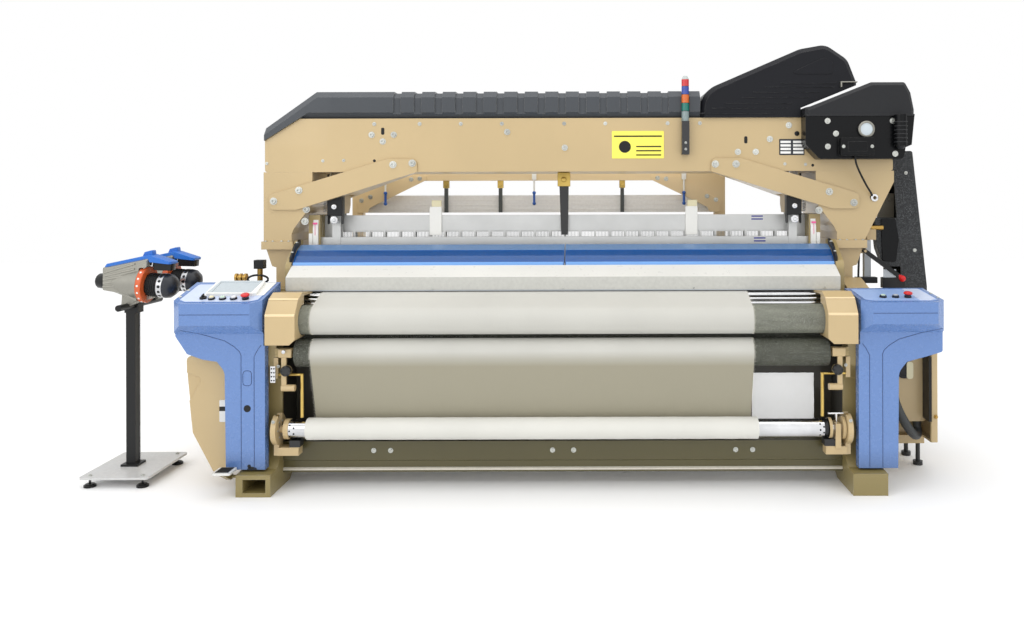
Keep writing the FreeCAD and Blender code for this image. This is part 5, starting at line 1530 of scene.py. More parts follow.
@dataclass
class Console(SubAssembly):
    """One control console: its lid, column and small parts."""

    side: int
    depth: float
    rise: float
    outer: float
    buttons: tuple[Corner, ...]
    key: Corner = (1822.0, 70.0)
    front_high: float = 975.0
    inner: float = 1513.0
    chamfer: float = 46.0
    grooves: tuple[tuple[Corner, ...], ...] = (
        ((1561, 130), (1561, 700), (1541, 737), (1525, 758)),
        ((1627, 130), (1627, 706), (1634, 724), (1663, 751), (1710, 780), (1822, 812), (1921, 838)),
    )

    @property
    def tilt(self) -> float:
        """The lid's angle about X."""
        return math.atan(self.rise / self.depth)

    def lid(self, x: float, y: float, above: float = 0.0) -> Vector:
        """A point on the lid or above it, x from the loom's middle and y back."""
        high = self.front_high + y * self.rise / self.depth
        return Vector((self.side * x, y - above * math.sin(self.tilt), high + above * math.cos(self.tilt)))

    def lid_plate(self, shape: Shape, outline: Sequence[Corner], low: float, high: float) -> Shape:
        """Adds a plate that lies on the lid, from one height above it to another."""
        return shape.loft([[self.lid(x, y, above) for x, y in outline] for above in (low, high)])

    def on_lid(self, shape: Shape, spot: Corner, profile: Sequence[Corner], sides: int = 28) -> None:
        """Adds a turned part that stands on the lid."""
        shape.lathe(Z, self.lid(*spot), profile, sides, Matrix.Rotation(self.tilt, 3, "X"))

    def build(self) -> list[Piece]:
        """Dresses the console and adds what is on it."""
        word = SIDES[self.side]
        coat(BLUE, f"console_{word}")
        lid_screws = Shape(f"lid_screws_{word}")
        for y in (180, 90):
            self.on_lid(lid_screws, (self.outer - 12, y),
                        [(0.5, 8), (4, 8), (5.5, 6), (5.5, 3), (3, 3), (3, 0)], 16)
        pieces = [*self.lid_inset(word), *self.collars(word), lid_screws.done(SCREW, 0),
                  self.grooved_lines(word)]
        return pieces + (self.left_parts() if self.side < 0 else self.right_parts())

    def lid_inset(self, word: str) -> list[Piece]:
        """The raised inner lid, its top painted paler as a highlight, and the seam round the head.

        Args:
            word: The side of the loom, for the names.

        Returns:
            The rim, the field and the seam.
        """
        cut, rear = self.chamfer, self.depth - 26
        left, right = self.inner + 18, self.outer - 20

        def ring(inset: float) -> list[Corner]:
            """The inset's outline, drawn in by some millimetres.

            Args:
                inset: How far it is drawn in.

            Returns:
                The outline.
            """
            return rounded([(left + inset, cut + inset), (left + cut, 20 + inset), (right - cut, 20 + inset),
                            (right - inset, cut + inset), (right - inset, rear - inset),
                            (left + inset, rear - inset)], 16)

        rim = Shape(f"lid_inset_{word}").loft([
            [self.lid(x, y, above) for x, y in ring(inset)]
            for inset, above in ((0, -0.5), (0, 2.2), (6, 2.2), (6, 0.2))], capped=False)
        top = self.lid_plate(Shape(f"lid_field_{word}"), ring(5.5), 0.1, 0.9)
        start, end = mirrored(self.side, self.inner + cut + 2, self.outer - cut - 2)
        seam = Shape(f"lid_seam_{word}").block((start, -0.6, 918.5), (end, 0.4, 921.5))
        return [rim.done(BLUE, 0.5), top.done(LID_HIGHLIGHT if self.side < 0 else BLUE_LID_HIGHLIGHT, 0),
                seam.done(DARK_BLUE, 0)]

    def collars(self, word: str) -> list[Piece]:
        """Dark sleeves round the buttons and the pale bezels inside them.

        Args:
            word: The side of the loom, for the names.

        Returns:
            The sleeves and the bezels.
        """
        sleeves, bezels = Shape(f"button_sleeves_{word}"), Shape(f"button_bezels_{word}")
        for number, spot in enumerate(self.buttons):
            self.on_lid(sleeves, spot, [(0.2, 17.1), (0.2, 17.8), (9.6, 17.6), (10.7, 16.6), (10.7, 15.6)])
            if number:
                self.on_lid(bezels, spot, [(11.5, 15.5), (13.0, 15.0), (13.0, 12.4), (11.5, 11.9)])
            else:
                self.on_lid(sleeves, spot, [(11.5, 15.4), (17.2, 15.4), (17.2, 12.0)])
        return [sleeves.done(BLACK, 0), bezels.done(STEEL_MARK if self.side < 0 else DARK_COLLAR, 0)]

    def grooved_lines(self, word: str) -> Piece:
        """The two dark grooves down the column, which flare out under the head.

        Args:
            word: The side of the loom, for the names.

        Returns:
            The grooves.
        """
        shape = Shape(f"column_grooves_{word}")
        for groove in self.grooves:
            shape.tube([(self.side * x, min(60.0, 60 * (865 - z) / 50) - 0.1, z)
                        for x, z in spaced(groove, 12.0)], 1.7, 6)
        return shape.done(DARK_BLUE, 0)

    def left_parts(self) -> list[Piece]:
        """The key switch, the white pad round the screen, and the column's oval and holes."""
        key = Shape("key_switch")
        self.on_lid(key, self.key, [(0, 0), (0, 17.5), (9, 17.5), (11, 14), (11, 0)])
        self.lid_plate(key, rectangle((1819, 58), (1825, 82)), 10.0, 24.0)
        pad = self.lid_plate(Shape("screen_pad"), rounded(rectangle((1530, 108), (1842, 290)), 8), 0.5, 2.6)
        ring = facing(59.6, *rounded(rectangle((-1618, 552), (-1574, 628)), 22, 8))
        oval = Shape("column_oval").tube([*ring, ring[0]], 1.5, 6)
        holes = Shape("column_holes")
        for x, z, radius in ((-1596, 436, 18), (-1587, 144, 9)):
            holes.lathe(Y, (x, 60, z), [(0.3, radius), (-0.8, radius), (-0.8, 0)])
        holes.prism(Y, arc((-1572, 127), 25, 14, math.pi / 12, 13), 59.2, 60.3)
        return [key.done(BLACK), pad.done(WHITE_PLASTIC), oval.done(DARK_BLUE, 0), holes.done(BLACK_MARK, 0)]

    def right_parts(self) -> list[Piece]:
        """The pale field at the lid's outer end, a painted highlight."""
        outline = rounded([(1808, 30), (1862, 30), (1896, 62), (1896, 288), (1808, 288)], 14)
        return [self.lid_plate(Shape("lid_pale_field"), outline, 0.5, 3.0).done(LID_HIGHLIGHT, 0.4)]


@dataclass
class Controls(SubAssembly):
    """Buttons, screen, hand lever and foot pedal."""

    caps: tuple[tuple[str, Finish], ...] = (
        ("push_button_1", IVORY), ("push_button_2", GREEN_CAP), ("push_button_3", WHITE_CAP),
        ("stop_button_left", RED), ("stop_button_right", RED), ("start_button", GREEN_CAP),
        ("jog_button", GRIP),
    )

    def build(self) -> list[Piece]:
        """Dresses the controls and adds the rubber ribs across the pedal's pad."""
        for node, finish in self.caps:
            coat(finish, node)
        glass = Zone((-1822, 110, 1000), (-1596, 282, 1090), shade(186, 196, 202), 0.14)
        coat(zoned("screen_housing", WHITE_PLASTIC, glass), "touch_screen")
        ball = Zone((1908, 576, 1008), (1955, 624, 1056), shade(206, 30, 32), 0.25)
        coat(zoned("lever_paint", BLACK, ball), "hand_lever")
        arm = Zone((-1760, -60, 60), (-1630, 160, 128.4), shade(140, 124, 76))
        coat(zoned("pedal_pad", WHITE_PANEL, arm), "foot_pedal")
        ribs = Shape("pedal_ribs")
        for y in range(-28, 56, 12):
            ribs.block((-1722, y, 139.5), (-1656, y + 5, 142.5))
        return [ribs.done(RUBBER, 0.6, "foot_pedal")]


# ---------------------------------------------------------------- cloth and take-up

@dataclass
class Cloth(SubAssembly):
    """The woven cloth on its way from the fell to the roll, and the roll."""

    left: float = -1285.0
    right: float = 980.0
    roll_left: float = -1313.0
    roll_right: float = 1005.0
    roll_radius: float = 56.0
    tube_radius: float = 48.0
    layers: int = 8
    fell: Corner = (480.0, 1012.0)
    wheels: tuple[Wheel, ...] = (
        Wheel(250.0, 986.0, 8.5, 1), Wheel(150.0, 873.0, 76.5, 1), Wheel(243.2, 785.3, 51.5, -1),
        Wheel(150.0, 702.0, 73.5, 1),
    )
    roll: Wheel = Wheel(130.0, 314.0, 57.5, -1)
    columns: int = 96

    def build(self) -> list[Piece]:
        """Makes the web, the roll and the frayed edges."""
        path = spaced(wrap(self.fell, self.wheels, self.roll), 28.0)
        return [self.web(path), self.wound(), self.selvedges([spot for spot in path if spot[1] < 1010])]

    def ripple(self, x: float, z: float) -> float:
        """How far the taut cloth stands out at a point, in millimetres.

        Args:
            x: Place across the loom.
            z: Height of the point.

        Returns:
            The distance.
        """
        low = max(0.0, min(1.0, (680 - z) / 90)) * max(0.0, min(1.0, (z - 335) / 70))
        wave = math.sin(x * 0.021 + 0.6 * math.sin(z * 0.012)) + 0.6 * math.sin(x * 0.0135 + z * 0.006)
        return 1.1 * low * wave

    def web(self, path: Sequence[Corner]) -> Piece:
        """The web as one sheet along its path.

        Args:
            path: Its way in the side view, as Y and Z.

        Returns:
            The sheet.
        """
        wide = self.right - self.left
        across = [self.left + wide * column / self.columns for column in range(self.columns + 1)]
        shape = Shape("cloth_sheet").skin([(x, y - self.ripple(x, z), z) for x in across] for y, z in path)
        piece = shape.done(CLOTH, 0, stands_for=("cloth_web",))
        return piece

    def roll_end(self, edge: float, way: int, stagger: int) -> list[Corner]:
        """The stepped layers at one end of the roll, from the tube outwards.

        Args:
            edge: X of the end.
            way: 1 or -1, into the roll.
            stagger: Sets the order of the steps.

        Returns:
            Places on X and radii.
        """
        points = [(edge + way * 5, self.tube_radius + 0.1)]
        for step in range(self.layers):
            share = (step + 1) / self.layers
            radius = self.tube_radius + (self.roll_radius - self.tube_radius) * share
            place = edge + way * (step * stagger % 5) * 0.9
            points += [(place, radius - 0.8), (place, radius)]
        return points

    def wound(self) -> Piece:
        """The roll, with its layers stepped at both ends."""
        middle = [(self.roll_left + (self.roll_right - self.roll_left) * step / 60,
                   self.roll_radius - 0.35 + 0.35 * math.sin(step * 1.7)) for step in range(1, 60)]
        profile = [*self.roll_end(self.roll_left, 1, 37), *middle,
                   *reversed(self.roll_end(self.roll_right, -1, 53))]
        shape = Shape("cloth_windings").lathe(X, (0, self.roll.y, self.roll.z), profile, 48)
        return shape.done(CLOTH_ROLL, 0, "cloth_beam", ("cloth_roll",))

    def selvedges(self, path: Sequence[Corner]) -> Piece:
        """Short frayed weft ends along both selvedges of the hanging cloth.

        Args:
            path: The hanging cloth's way, as Y and Z.

        Returns:
            The fringe.
        """
        shape = Shape("selvedge_fringe")
        for index, (first, last) in enumerate(zip(path, path[1:])):
            for step in range(3):
                y, z = (low + (high - low) * (step / 3) for low, high in zip(first, last))
                reach = 5 + (index * 7 + step * 3) % 6
                for edge, tip in ((self.left, self.left - reach), (self.right, self.right + reach)):
                    shape.skin([[(edge, y, z - 0.5), (edge, y, z + 0.5)],
                                [(tip, y, z - 1.5), (tip, y, z - 0.9)]])
        return shape.done(replace(THREAD, slot="cloth"), 0)


@dataclass
class TakeUp(SubAssembly):
    """Rollers, covers, rods, cloth beam and its holders."""

    beam: Corner = (130.0, 314.0)
    # Side views of pale strips along the roller covers' folds: painted highlights.
    fold_highlights: tuple[tuple[Corner, ...], ...] = (
        ((20.3, 906), (18.2, 908), (18.0, 915), (21.5, 920), (24.2, 919)),
        ((71, 984.5), (69.6, 986.2), (73, 990.6), (79, 992.8), (80, 991)),
    )
    tube_bands: tuple[tuple[float, float, Finish], ...] = (
        (-1450, -1432, TAN), (1432, 1450, TAN), (-1426, -1399.5, TAN), (1366, 1383, TAN),
        (1341.5, 1366, BLACK),
    )

    def build(self) -> list[Piece]:
        """Dresses the take-up and adds its small parts, among them pale strips along the covers' folds that are
        painted highlights.
        """
        journals = [mirrored_zone(side, (1370.2, 0, 600), (1510, 340, 960), shade(190, 190, 188), 0.25, 1.0)
                    for side in SIDES]
        for node, skin in (("take_up_roller", EMERY), ("press_roller", DARK_EMERY),
                           ("guide_roller", DARK_EMERY)):
            coat(zoned(f"{node}_skin", skin, *journals), node)
        plates = [mirrored_zone(side, (1458, 190, 925), (1480, 366, 1006), TAN.colour, 0.38)
                  for side in SIDES]
        coat(zoned("lead_rod_steel", CHROME, *plates), "cloth_rods")
        coat(TAN, "roller_covers")
        coat(zoned("beam_tube", CHROME, *(Zone((low, 50, 230), (high, 210, 400), finish.colour)
                                          for low, high, finish in self.tube_bands)), "cloth_beam")
        zones = []
        for side, word in SIDES.items():
            zones += [
                mirrored_zone(side, (1325, 99, 378), (1466, 117, 607), ZINC.colour, 0.3, 1.0),
                mirrored_zone(side, (1343.8, 101, 226), (1399, 159, 262), BLACK.colour, 0.45),
                mirrored_zone(side, (1369, 120, 342.5), (1450, 140, 396), CHROME.colour, 0.15, 1.0)]
            knob = mirrored_zone(side, (1373, 40, 599), (1427, 73.9, 653), BLACK.colour)
            coat(zoned(f"press_lever_{word}_enamel", TAN, knob), f"press_lever_{word}")
        coat(zoned("holder_enamel", TAN, *zones), "beam_holders")
        # Pale strips along the covers' folds: painted highlights.
        folds = Shape("cover_fold_highlights")
        for side in SIDES:
            for seam in self.fold_highlights:
                folds.prism(X, seam, *mirrored(side, 1341, 1491))
        return [folds.done(LIT_TAN, 0), *self.left_fittings(), *self.knob_lobes(), *self.beam_fittings()]

    def left_fittings(self) -> list[Piece]:
        """The bright plate with its holes beside the left press lever, and the holders' bolts."""
        plate = Shape("perforated_plate").block((-1479, 59, 567), (-1453, 64, 650))
        plate.lathe(Y, (-1412, 66, 723), [(4, 10), (-8, 10), (-10, 7), (-10, 0)], 20)
        holes = Shape("plate_holes")
        for index in range(8):
            centre = (-1472 + index % 2 * 12, 58.8, 578 + index // 2 * 20)
            holes.lathe(Y, centre, [(0.4, 4.4), (-0.4, 4.0), (-0.4, 0)], 12)
        bolts = [(side * x, y, z) for side in SIDES
                 for x, y, z in ((1464, 58, 368), (1464, 58, 298), (1452, 98, 642))]
        return [plate.done(CHROME, 0.5), holes.done(BLACK_MARK, 0),
                screws("holder_bolts", ScrewRow(6.0, bolts))]

    def knob_lobes(self) -> list[Piece]:
        """Lobes round both star knobs."""
        pieces = []
        for side, word in SIDES.items():
            shape = Shape(f"star_knob_{word}")
            for centre in facing(51.5, *arc((side * 1400, 626), 20, 20, math.pi / 3, 6)):
                shape.lathe(Y, centre, [(22, 0), (22, 6.5), (3, 7), (0, 5), (0, 0)], 14)
            pieces.append(shape.done(BLACK, 0, f"press_lever_{word}"))
        return pieces

    def beam_fittings(self) -> list[Piece]:
        """The rings of holes in the cloth beam's tube and the screws on its flanges."""
        shape = Shape("beam_tube_holes")
        for x, start in ((-1392, 0.0), (-1370, 0.3), (1318, 0.0), (1336, 0.3)):
            for step in range(10):
                turn = Matrix.Rotation(step * math.pi / 5 + start, 3, "X")
                centre = Vector((x, *self.beam)) + turn @ Vector((0, 47.6, 0))
                shape.lathe(Y, centre, [(0.2, 5.0), (0.9, 4.6), (0.7, 0)], 12, turn)
        ring = arc(self.beam, 44, 44, math.pi / 3, 6)
        rows = [ScrewRow(4.0, [(side * 1449.5, *spot) for spot in ring], X, side) for side in SIDES]
        return [shape.done(BLACK_MARK, 0, "cloth_beam"), screws("beam_flange_screws", *rows, body="cloth_beam")]


# ---------------------------------------------------------------- warp

@dataclass
class Warp(SubAssembly):
    """The warp beam with its yarn, the threads and the back-rest roller."""

    left: float = -1285.0
    right: float = 960.0
    beam: Wheel = Wheel(1650.0, 520.0, 251.5, -1)
    rest: Wheel = Wheel(1560.0, 1060.0, 66.5, -1)
    fell: Corner = (484.0, 1012.0)
    threads: int = 450
    bands: int = 120

    def build(self) -> list[Piece]:
        """Dresses the beam and winds the yarn."""
        flange = Zone((-1510, 1500, 400), (-1313, 1800, 640), shade(200, 201, 203), 0.25, 1.0)
        coat(zoned("warp_flanges", CASTING, flange), "warp_beam")
        coat(TURNED_STEEL, "back_rest_roller")
        return [self.wound_yarn(), self.thread_sheet(), self.flange_ribs()]

    def wound_yarn(self) -> Piece:
        """The yarn on the beam, in slightly uneven bands."""
        outer = [(self.left + (self.right - self.left) * step / self.bands,
                  249.2 + 0.5 * math.sin(step * 2.1) + 0.3 * math.sin(step * 0.37))
                 for step in range(self.bands + 1)]
        profile = [(self.left, 75.2), *outer, (self.right, 75.2)]
        shape = Shape("yarn_windings").lathe(X, (0, self.beam.y, self.beam.z), profile, 72)
        return shape.done(YARN, 0, "warp_beam", ("warp_yarn",))

    def thread_sheet(self) -> Piece:
        """Separate warp threads from the fell over the back rest to the beam."""
        shape = Shape("warp_threads")
        path = wrap(self.fell, (self.rest,), self.beam, 0.3)
        for index in range(self.threads):
            x = self.left + 6 + (self.right - self.left - 12) * index / (self.threads - 1)
            shape.skin([(x - 0.9, y, z), (x + 0.9, y, z)] for y, z in path)
        return shape.done(THREAD, 0, stands_for=("warp_sheet",))

    def flange_ribs(self) -> Piece:
        """Ribs and a rim on the outer face of each flange."""
        shape = Shape("flange_ribs")
        for face, way in ((-1312, -1), (987, 1)):
            low, high = sorted((face, face + way * 10))
            shape.blades((self.beam.y, self.beam.z), [(95, -7), (370, -4), (370, 4), (95, 7)], low, high, 8)
            shape.lathe(X, (face, self.beam.y, self.beam.z),
                        [(0, 372), (way * 12, 372), (way * 12, 396), (0, 398)], 64)
        return shape.done(CASTING, 1.0, "warp_beam")


# ---------------------------------------------------------------- frames, covers and drives

@dataclass
class Chassis(SubAssembly):
    """Side frames, cross beams, side cover, drives and pump."""

    front_bolts: tuple[float, ...] = (-991, -902, -54, 56, 905, 994)
    outer_bolts: tuple[Corner, ...] = ((60, 60), (240, 160), (460, 940), (620, 900), (1100, 900),
                                       (1450, 900), (1600, 520))

    def build(self) -> list[Piece]:
        """Dresses the heavy parts and adds their fasteners, fins and fittings."""
        rows = []
        for side, word in SIDES.items():
            # The side frames' inner faces are painted dark: painted shade of the loom's inside.
            inner = mirrored_zone(side, (1460, 205, 205), (1466.5, 1720, 935), PAINTED_INSIDE_SHADE, 0.6)
            # The frames' darker tan is painted shade.
            coat(zoned(f"side_frame_{word}_enamel", SHADED_FRAME_TAN, inner), f"side_frame_{word}")
            rows += [ScrewRow(12.0, [(side * 1640, *spot) for spot in self.outer_bolts], X, side),
                     ScrewRow(9.0, [(side * 1465, 330, z) for z in (130, 170, 215)], X, -side)]
        # The guard sheet behind the take-up is painted dark: painted shade of the loom's inside.
        guard = Zone((-1466, 402.5, 248), (1466, 431, 902), shade(46, 42, 30), 0.55)
        lip = Zone((-1466, 190, 78), (1466, 205, 92), shade(206, 201, 188))
        # The cross beams' dark tan is painted shade.
        coat(zoned("beam_faces", SHADED_TAN, guard, lip), "cross_beams")
        coat(TAN, "side_cover_left")
        coat(MOTOR, "drive_units")
        pulley = Zone((1985, 680, 380), (2050, 920, 580), shade(40, 42, 44), 0.5)
        coat(zoned("shaft_steel", TURNED_STEEL, pulley), "main_shaft")
        coat(PUMP, "water_pump")
        fins = Shape("motor_fins").blades((1240, 300), [(102, -1.8), (120, -1.4), (120, 1.4), (102, 1.8)],
                                          1690, 1868, 24)
        pad = Shape("side_cover_pad").prism(Y, rounded(rectangle((-1776, 345), (-1720, 459)), 6), 147.6, 150.2)
        band = Shape("side_cover_band").prism(Y, rectangle((-1776, 402), (-1720, 425)), 147.1, 147.7)
        return [screws("cross_beam_bolts", ScrewRow(9.0, [(x, 200, 180) for x in self.front_bolts])),
                screws("side_frame_bolts", *rows), fins.done(MOTOR, 0), pad.done(WHITE_PANEL, 0.3),
                band.done(BLACK_MARK, 0), self.hanging_film(), *self.pump_fittings()]

    def hanging_film(self) -> Piece:
        """The crinkled film that hangs on the guard sheet's right part; it gives off a little painted light."""
        rows = [[(1030 + 338 * column / 24,
                  400.6 - 3.2 * abs(math.sin(column * 1.9 + row * 0.7) + math.sin(column * 0.8 - row * 1.3)),
                  540 - row * 247 / 14) for column in range(25)] for row in range(15)]
        piece = Shape("crinkled_film").skin(rows).done(FILM, 0)
        return piece

    def pump_fittings(self) -> list[Piece]:
        """The valve, its knob and hose, and the finned union on the water pump."""
        black = Shape("pump_knobs").block((-1768, 576, 1100), (-1712, 624, 1150))
        black.tube(facing(590, *arc((-1748, 1040), 58, 24, math.pi / 12, 25)), 6.0)
        brass = Shape("pump_unions")
        brass.lathe(Z, (-1740, 600, 992), [(0, 0), (0, 24), (34, 24), (34, 15), (108, 15), (108, 0)], 24)
        for step in range(5):
            brass.bar(X, (-1880 + step * 13, 600, 1050), 15 if step % 2 else 23, 13)
        tap = Shape("pump_tap")
        tap.lathe(Z, (-1644, 590, 972), [(0, 0), (0, 15), (24, 18), (30, 14), (36, 14), (36, 0)], 24)
        return [black.done(BLACK, 2.0), brass.done(BRASS), tap.done(CHROME, 0.5)]


@dataclass
class RightSide(SubAssembly):
    """The belt guard, the electric cabinet and what shows round them."""

    guard_bolts: tuple[Corner, ...] = ((2040, 1189), (1990, 1640), (2060, 700), (2060, 430))

    def build(self) -> list[Piece]:
        """Dresses the right side and adds its parts."""
        arms = Zone((1600, 970, 870), (1990, 1000, 940), TAN.colour)
        coat(zoned("guard_with_arms", GUARD, arms), "drive_guard")
        feet = Zone((1900, 400, -5), (2040, 800, 127.5), shade(30, 31, 32), 0.5)
        coat(zoned("cabinet_enamel", TAN, feet), "electric_cabinet")
        coat(TAN, "cabinet_door")
        latch = Shape("door_latch")
        latch.lathe(Y, (2007, 330, 315), [(1, 0), (1, 11), (-4, 11), (-6, 8), (-14, 7), (-15, 0)], 24)
        return [screws("guard_bolts", ScrewRow(7.0, facing(700, *self.guard_bolts))), *self.cabinet_parts(),
                latch.done(BRASS, 0.4, "cabinet_door"), *self.behind_post(), *self.lever_supports()]

    def cabinet_parts(self) -> list[Piece]:
        """The cable channel with its wrap, the socket disc and the cream oval on the cabinet."""
        channel = [(1964, 400), (1964, 312), (1979, 312), (1979, 316), (1968, 316), (1968, 400)]
        disc = [(0.2, 46), (-9, 46), (-12, 42), (-12, 30), (-8, 28), (-8, 0)]
        black = Shape("cable_channel").prism(Z, channel, 292, 640).lathe(Y, (1862, 400, 554), disc, 40)
        coil = arc((1974, 322), 5, 7, math.pi / 4, 241)
        pale = Shape("channel_wrap").tube([(*spot, 330 + 1.25 * step)
                                           for step, spot in enumerate(coil)], 2.2, 6)
        pale.prism(X, [(314, 300), (330, 300), (392, 414), (378, 420)], 1969, 1973)
        oval = Shape("cabinet_oval").prism(Y, rounded(rectangle((1873, 506), (1909, 600)), 18, 8), 387, 389)
        return [black.done(BLACK, 0.5), pale.done(WHITE_PLASTIC, 0), oval.done(IVORY, 0.3)]

    def behind_post(self) -> list[Piece]:
        """A grey panel, glossy bracket, yellow tube, tan box and cream upright behind the post."""
        panel = Shape("grey_switch_panel")
        panel.prism(Y, rounded(rectangle((1886, 1362), (1986, 1522)), 8), 880, 900)
        for x in (1908, 1935, 1962):
            panel.bar(Y, (x, 872, 1484), 8, 10)
        outline = rounded([(1850, 1128), (1842, 1376), (1926, 1376), (1946, 1250), (1929, 1120)], 14)
        bracket = Shape("guard_tube_bracket").prism(Y, outline, 694, 701.5)
        tube = Shape("brass_tube").bar(X, (1782, 700, 1321), 14, 72)
        box = Shape("post_box").block((1757, 690, 1250), (1812, 724, 1314))
        upright = Shape("cream_upright").block((1742, 690, 1000), (1782, 722, 1249))
        return [panel.done(PALE_GREY, 1.5), bracket.done(replace(DOBBY_GLOSS, slot=DARK), 1.5),
                tube.done(replace(BRASS, slot=None), 0.5), box.done(TAN, 2.0), upright.done(GRIP, 2.0)]

    def lever_supports(self) -> list[Piece]:
        """What carries the hand lever, and the sloping plate in front of the right funnel."""
        black = Shape("lever_supports").block((1655, 556, 1012), (1774, 600, 1046))
        black.block((1818, 600, 980), (1946, 640, 1040))
        black.prism(Y, [(1669, 1046), (1680, 1046), (1684, 1170), (1673, 1170)], 584, 592)
        pale = Shape("lever_plate").block((1822, 600, 1040), (1894, 604, 1086))
        slope = Shape("sloping_plate")
        slope.prism(X, [(420, 1002), (560, 1046), (560, 1040), (420, 996)], 1560, 1680)
        return [black.done(BLACK, 1.5), pale.done(GRIP, 0.5), slope.done(TAN, 1.0)]


# ---------------------------------------------------------------- weft supply

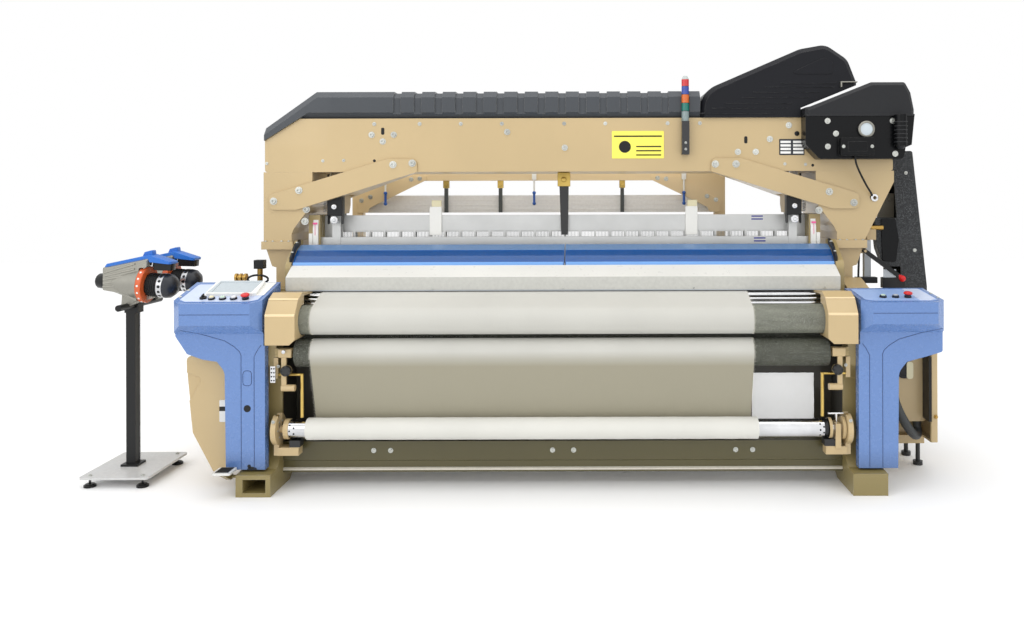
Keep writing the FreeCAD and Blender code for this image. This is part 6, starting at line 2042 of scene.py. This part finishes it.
@dataclass
class Feeder:
    """One weft feeder: a cast body, its winder, drum and blue lid."""

    name: str
    y: float
    x: float = -2226.0
    z: float = 1045.0
    dip: float = 4.5

    @property
    def turn(self) -> Matrix:
        """The feeder's dip about Y."""
        return Matrix.Rotation(math.radians(self.dip), 3, "Y")

    def spot(self, along: float, across: float, up: float) -> Vector:
        """A point given along the feeder's own axis, across it and above it."""
        return Vector((self.x, self.y, self.z)) + self.turn @ Vector((along, across, up))

    def turned(self, label: str, profile: Sequence[Corner], finish: Finish) -> Piece:
        """A piece turned about the feeder's axis."""
        shape = Shape(f"{self.name}_{label}").lathe(X, (self.x, self.y, self.z), profile, 56, self.turn)
        return shape.done(finish, 0.6)

    def slab(self, label: str, outline: Sequence[Corner], half: float, finish: Finish,
             soft: float = 6.0, draft: float = 0.94) -> Piece:
        """A plate of a side view, drawn in a little at both of its faces.

        Args:
            label: The piece's own name.
            outline: Places along the feeder's axis and above it.
            half: Half of its thickness.
            finish: Its finish.
            soft: Radius of its corners.
            draft: How much smaller its faces are than its middle.

        Returns:
            The piece.
        """
        corners = rounded(outline, soft)
        middle = [sum(corner[axis] for corner in corners) / len(corners) for axis in (0, 1)]
        rings = [[self.spot(middle[0] + (along - middle[0]) * pull, across,
                            middle[1] + (up - middle[1]) * pull) for along, up in corners]
                 for across, pull in ((-half, draft), (-half * 0.8, 1.0), (half * 0.8, 1.0), (half, draft))]
        return Shape(f"{self.name}_{label}").loft(rings).done(finish, 1.5)

    def studs(self, label: str, along: float, radius: float, count: int, sides: int,
              profile: Sequence[Corner], finish: Finish) -> Piece:
        """Small turned studs or holes round the feeder's axis.

        Args:
            label: The piece's own name.
            along: Place along the feeder's axis.
            radius: Distance from that axis.
            count: Number of studs.
            sides: Number of sides of each.
            profile: Heights and radii of one.
            finish: Its finish.

        Returns:
            The piece.
        """
        shape = Shape(f"{self.name}_{label}")
        for step in range(count):
            angle = 2 * math.pi * step / count
            centre = self.spot(along, radius * math.cos(angle), radius * math.sin(angle))
            shape.lathe(Y, centre, profile, sides, self.turn @ Matrix.Rotation(angle, 3, "X"))
        return shape.done(finish, 0)

    def build(self) -> list[Piece]:
        """Builds the feeder's pieces."""
        drum = [(19 + step * 5 + end, 63 if step % 2 else 60) for step in range(12) for end in (0, 4)]
        return [
            self.turned("end_cap", [(-262, 0), (-262, 26), (-257, 33), (-249, 39), (-214, 42), (-211, 40)],
                        BLACK),
            self.turned("bell", [(-211, 30), (-211, 41), (-150, 59), (-80, 78), (-22, 92), (-15, 93), (-15, 0)],
                        CASTING),
            self.slab("casing", [(-215, 76), (22, 144), (27, 98), (-17, 94), (-17, -93), (-36, -89),
                                 (-120, -51), (-207, -43)], 55, CASTING, 10),
            self.turned("winder", [(-14, 60), (-14, 94), (-11, 97), (13, 97), (16, 94), (16, 60)], ORANGE),
            self.turned("drum", [(18, 50), (18, 59), *drum, (79, 50)], RUBBER),
            self.turned("drum_ring", [(79, 50), (79, 64), (82, 65), (108, 65), (110, 62), (110, 50)], STEEL),
            self.turned("nose", [(110, 50), (110, 66), (136, 62), (158, 44), (166, 24), (168, 18), (168, 0)],
                        replace(DARK_COLLAR, slot=DARK)),
            self.slab("cover", [(-213, 75), (-200, 97), (20, 161), (30, 161), (140, 134), (140, 119), (30, 123),
                                (24, 140)], 46, FEEDER_BLUE),
            self.slab("cover_lug", [(-24, 142), (-14, 172), (26, 186), (34, 152)], 22, FEEDER_BLUE),
            self.slab("sensor", [(42, 79), (42, 123), (138, 123), (138, 84)], 28, BLACK, 4),
            self.slab("sensor_end", [(18, 98), (18, 146), (41, 146), (41, 98)], 30, STEEL, 3),
            self.slab("sensor_window", [(22, 106), (22, 122), (37, 122), (37, 106)], 31, BLACK_MARK, 3),
            self.slab("clamp", [(-116, -38), (46, -48), (40, -72), (-34, -100), (-104, -140), (-116, -140)], 20,
                      CASTING, 8, 1.0),
            self.studs("rivets", 0, 96.5, 16, 12, [(0, 6), (2.4, 5), (3.2, 0)], WHITE_MARK),
            self.studs("ring_holes", 95, 64.6, 14, 14, [(0, 8), (0.9, 7.6), (0.7, 0)], BLACK_MARK),
            self.flutes(),
        ]

    def flutes(self) -> Piece:
        """The cast ribs that sweep along both sides of the casing."""
        shape = Shape(f"{self.name}_flutes")
        for across in (-56, 56):
            for rise in range(5):
                start = (rise * 21 - 34) * 0.7 + rise * 4
                shape.tube([self.spot(-200 + step * 20, across, start + step * (3.0 + rise * 1.1))
                            for step in range(9)], 5.0, 8)
        return shape.done(CASTING, 0)


@dataclass
class WeftSupply(SubAssembly):
    """Both feeders and their stand."""

    near: float = 290.0
    far: float = 560.0

    def build(self) -> list[Piece]:
        """Builds the feeders, and dresses the stand with a bright strip and its foot screws."""
        pieces = [*Feeder("near_feeder", self.near).build(), *Feeder("far_feeder", self.far).build()]
        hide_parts("weft_feeders")
        plate = Zone((-2530, 130, 43.5), (-2130, 610, 58.5), shade(198, 198, 197), 0.25)
        coat(zoned("stand_enamel", BLACK, plate), "feeder_stand")
        strip = Shape("stand_strip").block((-2314.8, 384, 70), (-2312.4, 391, 884))
        feet = [(x, y, 57) for x in (-2468, -2193) for y in (184, 556)]
        return [*pieces, strip.done(STEEL, 0.6), screws("stand_screws", ScrewRow(8.0, feet, Z, 1))]


# ---------------------------------------------------------------- main

ASSEMBLIES: tuple[SubAssembly, ...] = (
    Cords(), OverheadBeam(), TopCovers(), Dobby(), SignalLamp(), RearPortal(), WeavingZone(), FrontCovers(),
    Console(-1, 300.0, 78.0, 1960.0, ((1604, 62), (1776, 62), (1720, 62), (1664, 62))),
    Console(1, 320.0, 36.0, 1932.0, ((1771, 100), (1644, 100), (1708, 100))),
    Controls(), Cloth(), TakeUp(), Warp(), Chassis(), RightSide(), WeftSupply(),
)


def main() -> None:
    """Builds the camera, the studio, then each sub-assembly in order, and logs each piece's name."""
    logging.basicConfig(level=logging.INFO, format="%(name)s: %(message)s")
    Photographer().build()
    Studio().build()
    for assembly in ASSEMBLIES:
        for piece in assembly.build():
            LOG.info("%s: %s", type(assembly).__name__, piece.name)


if __name__ == "__main__":
    main()
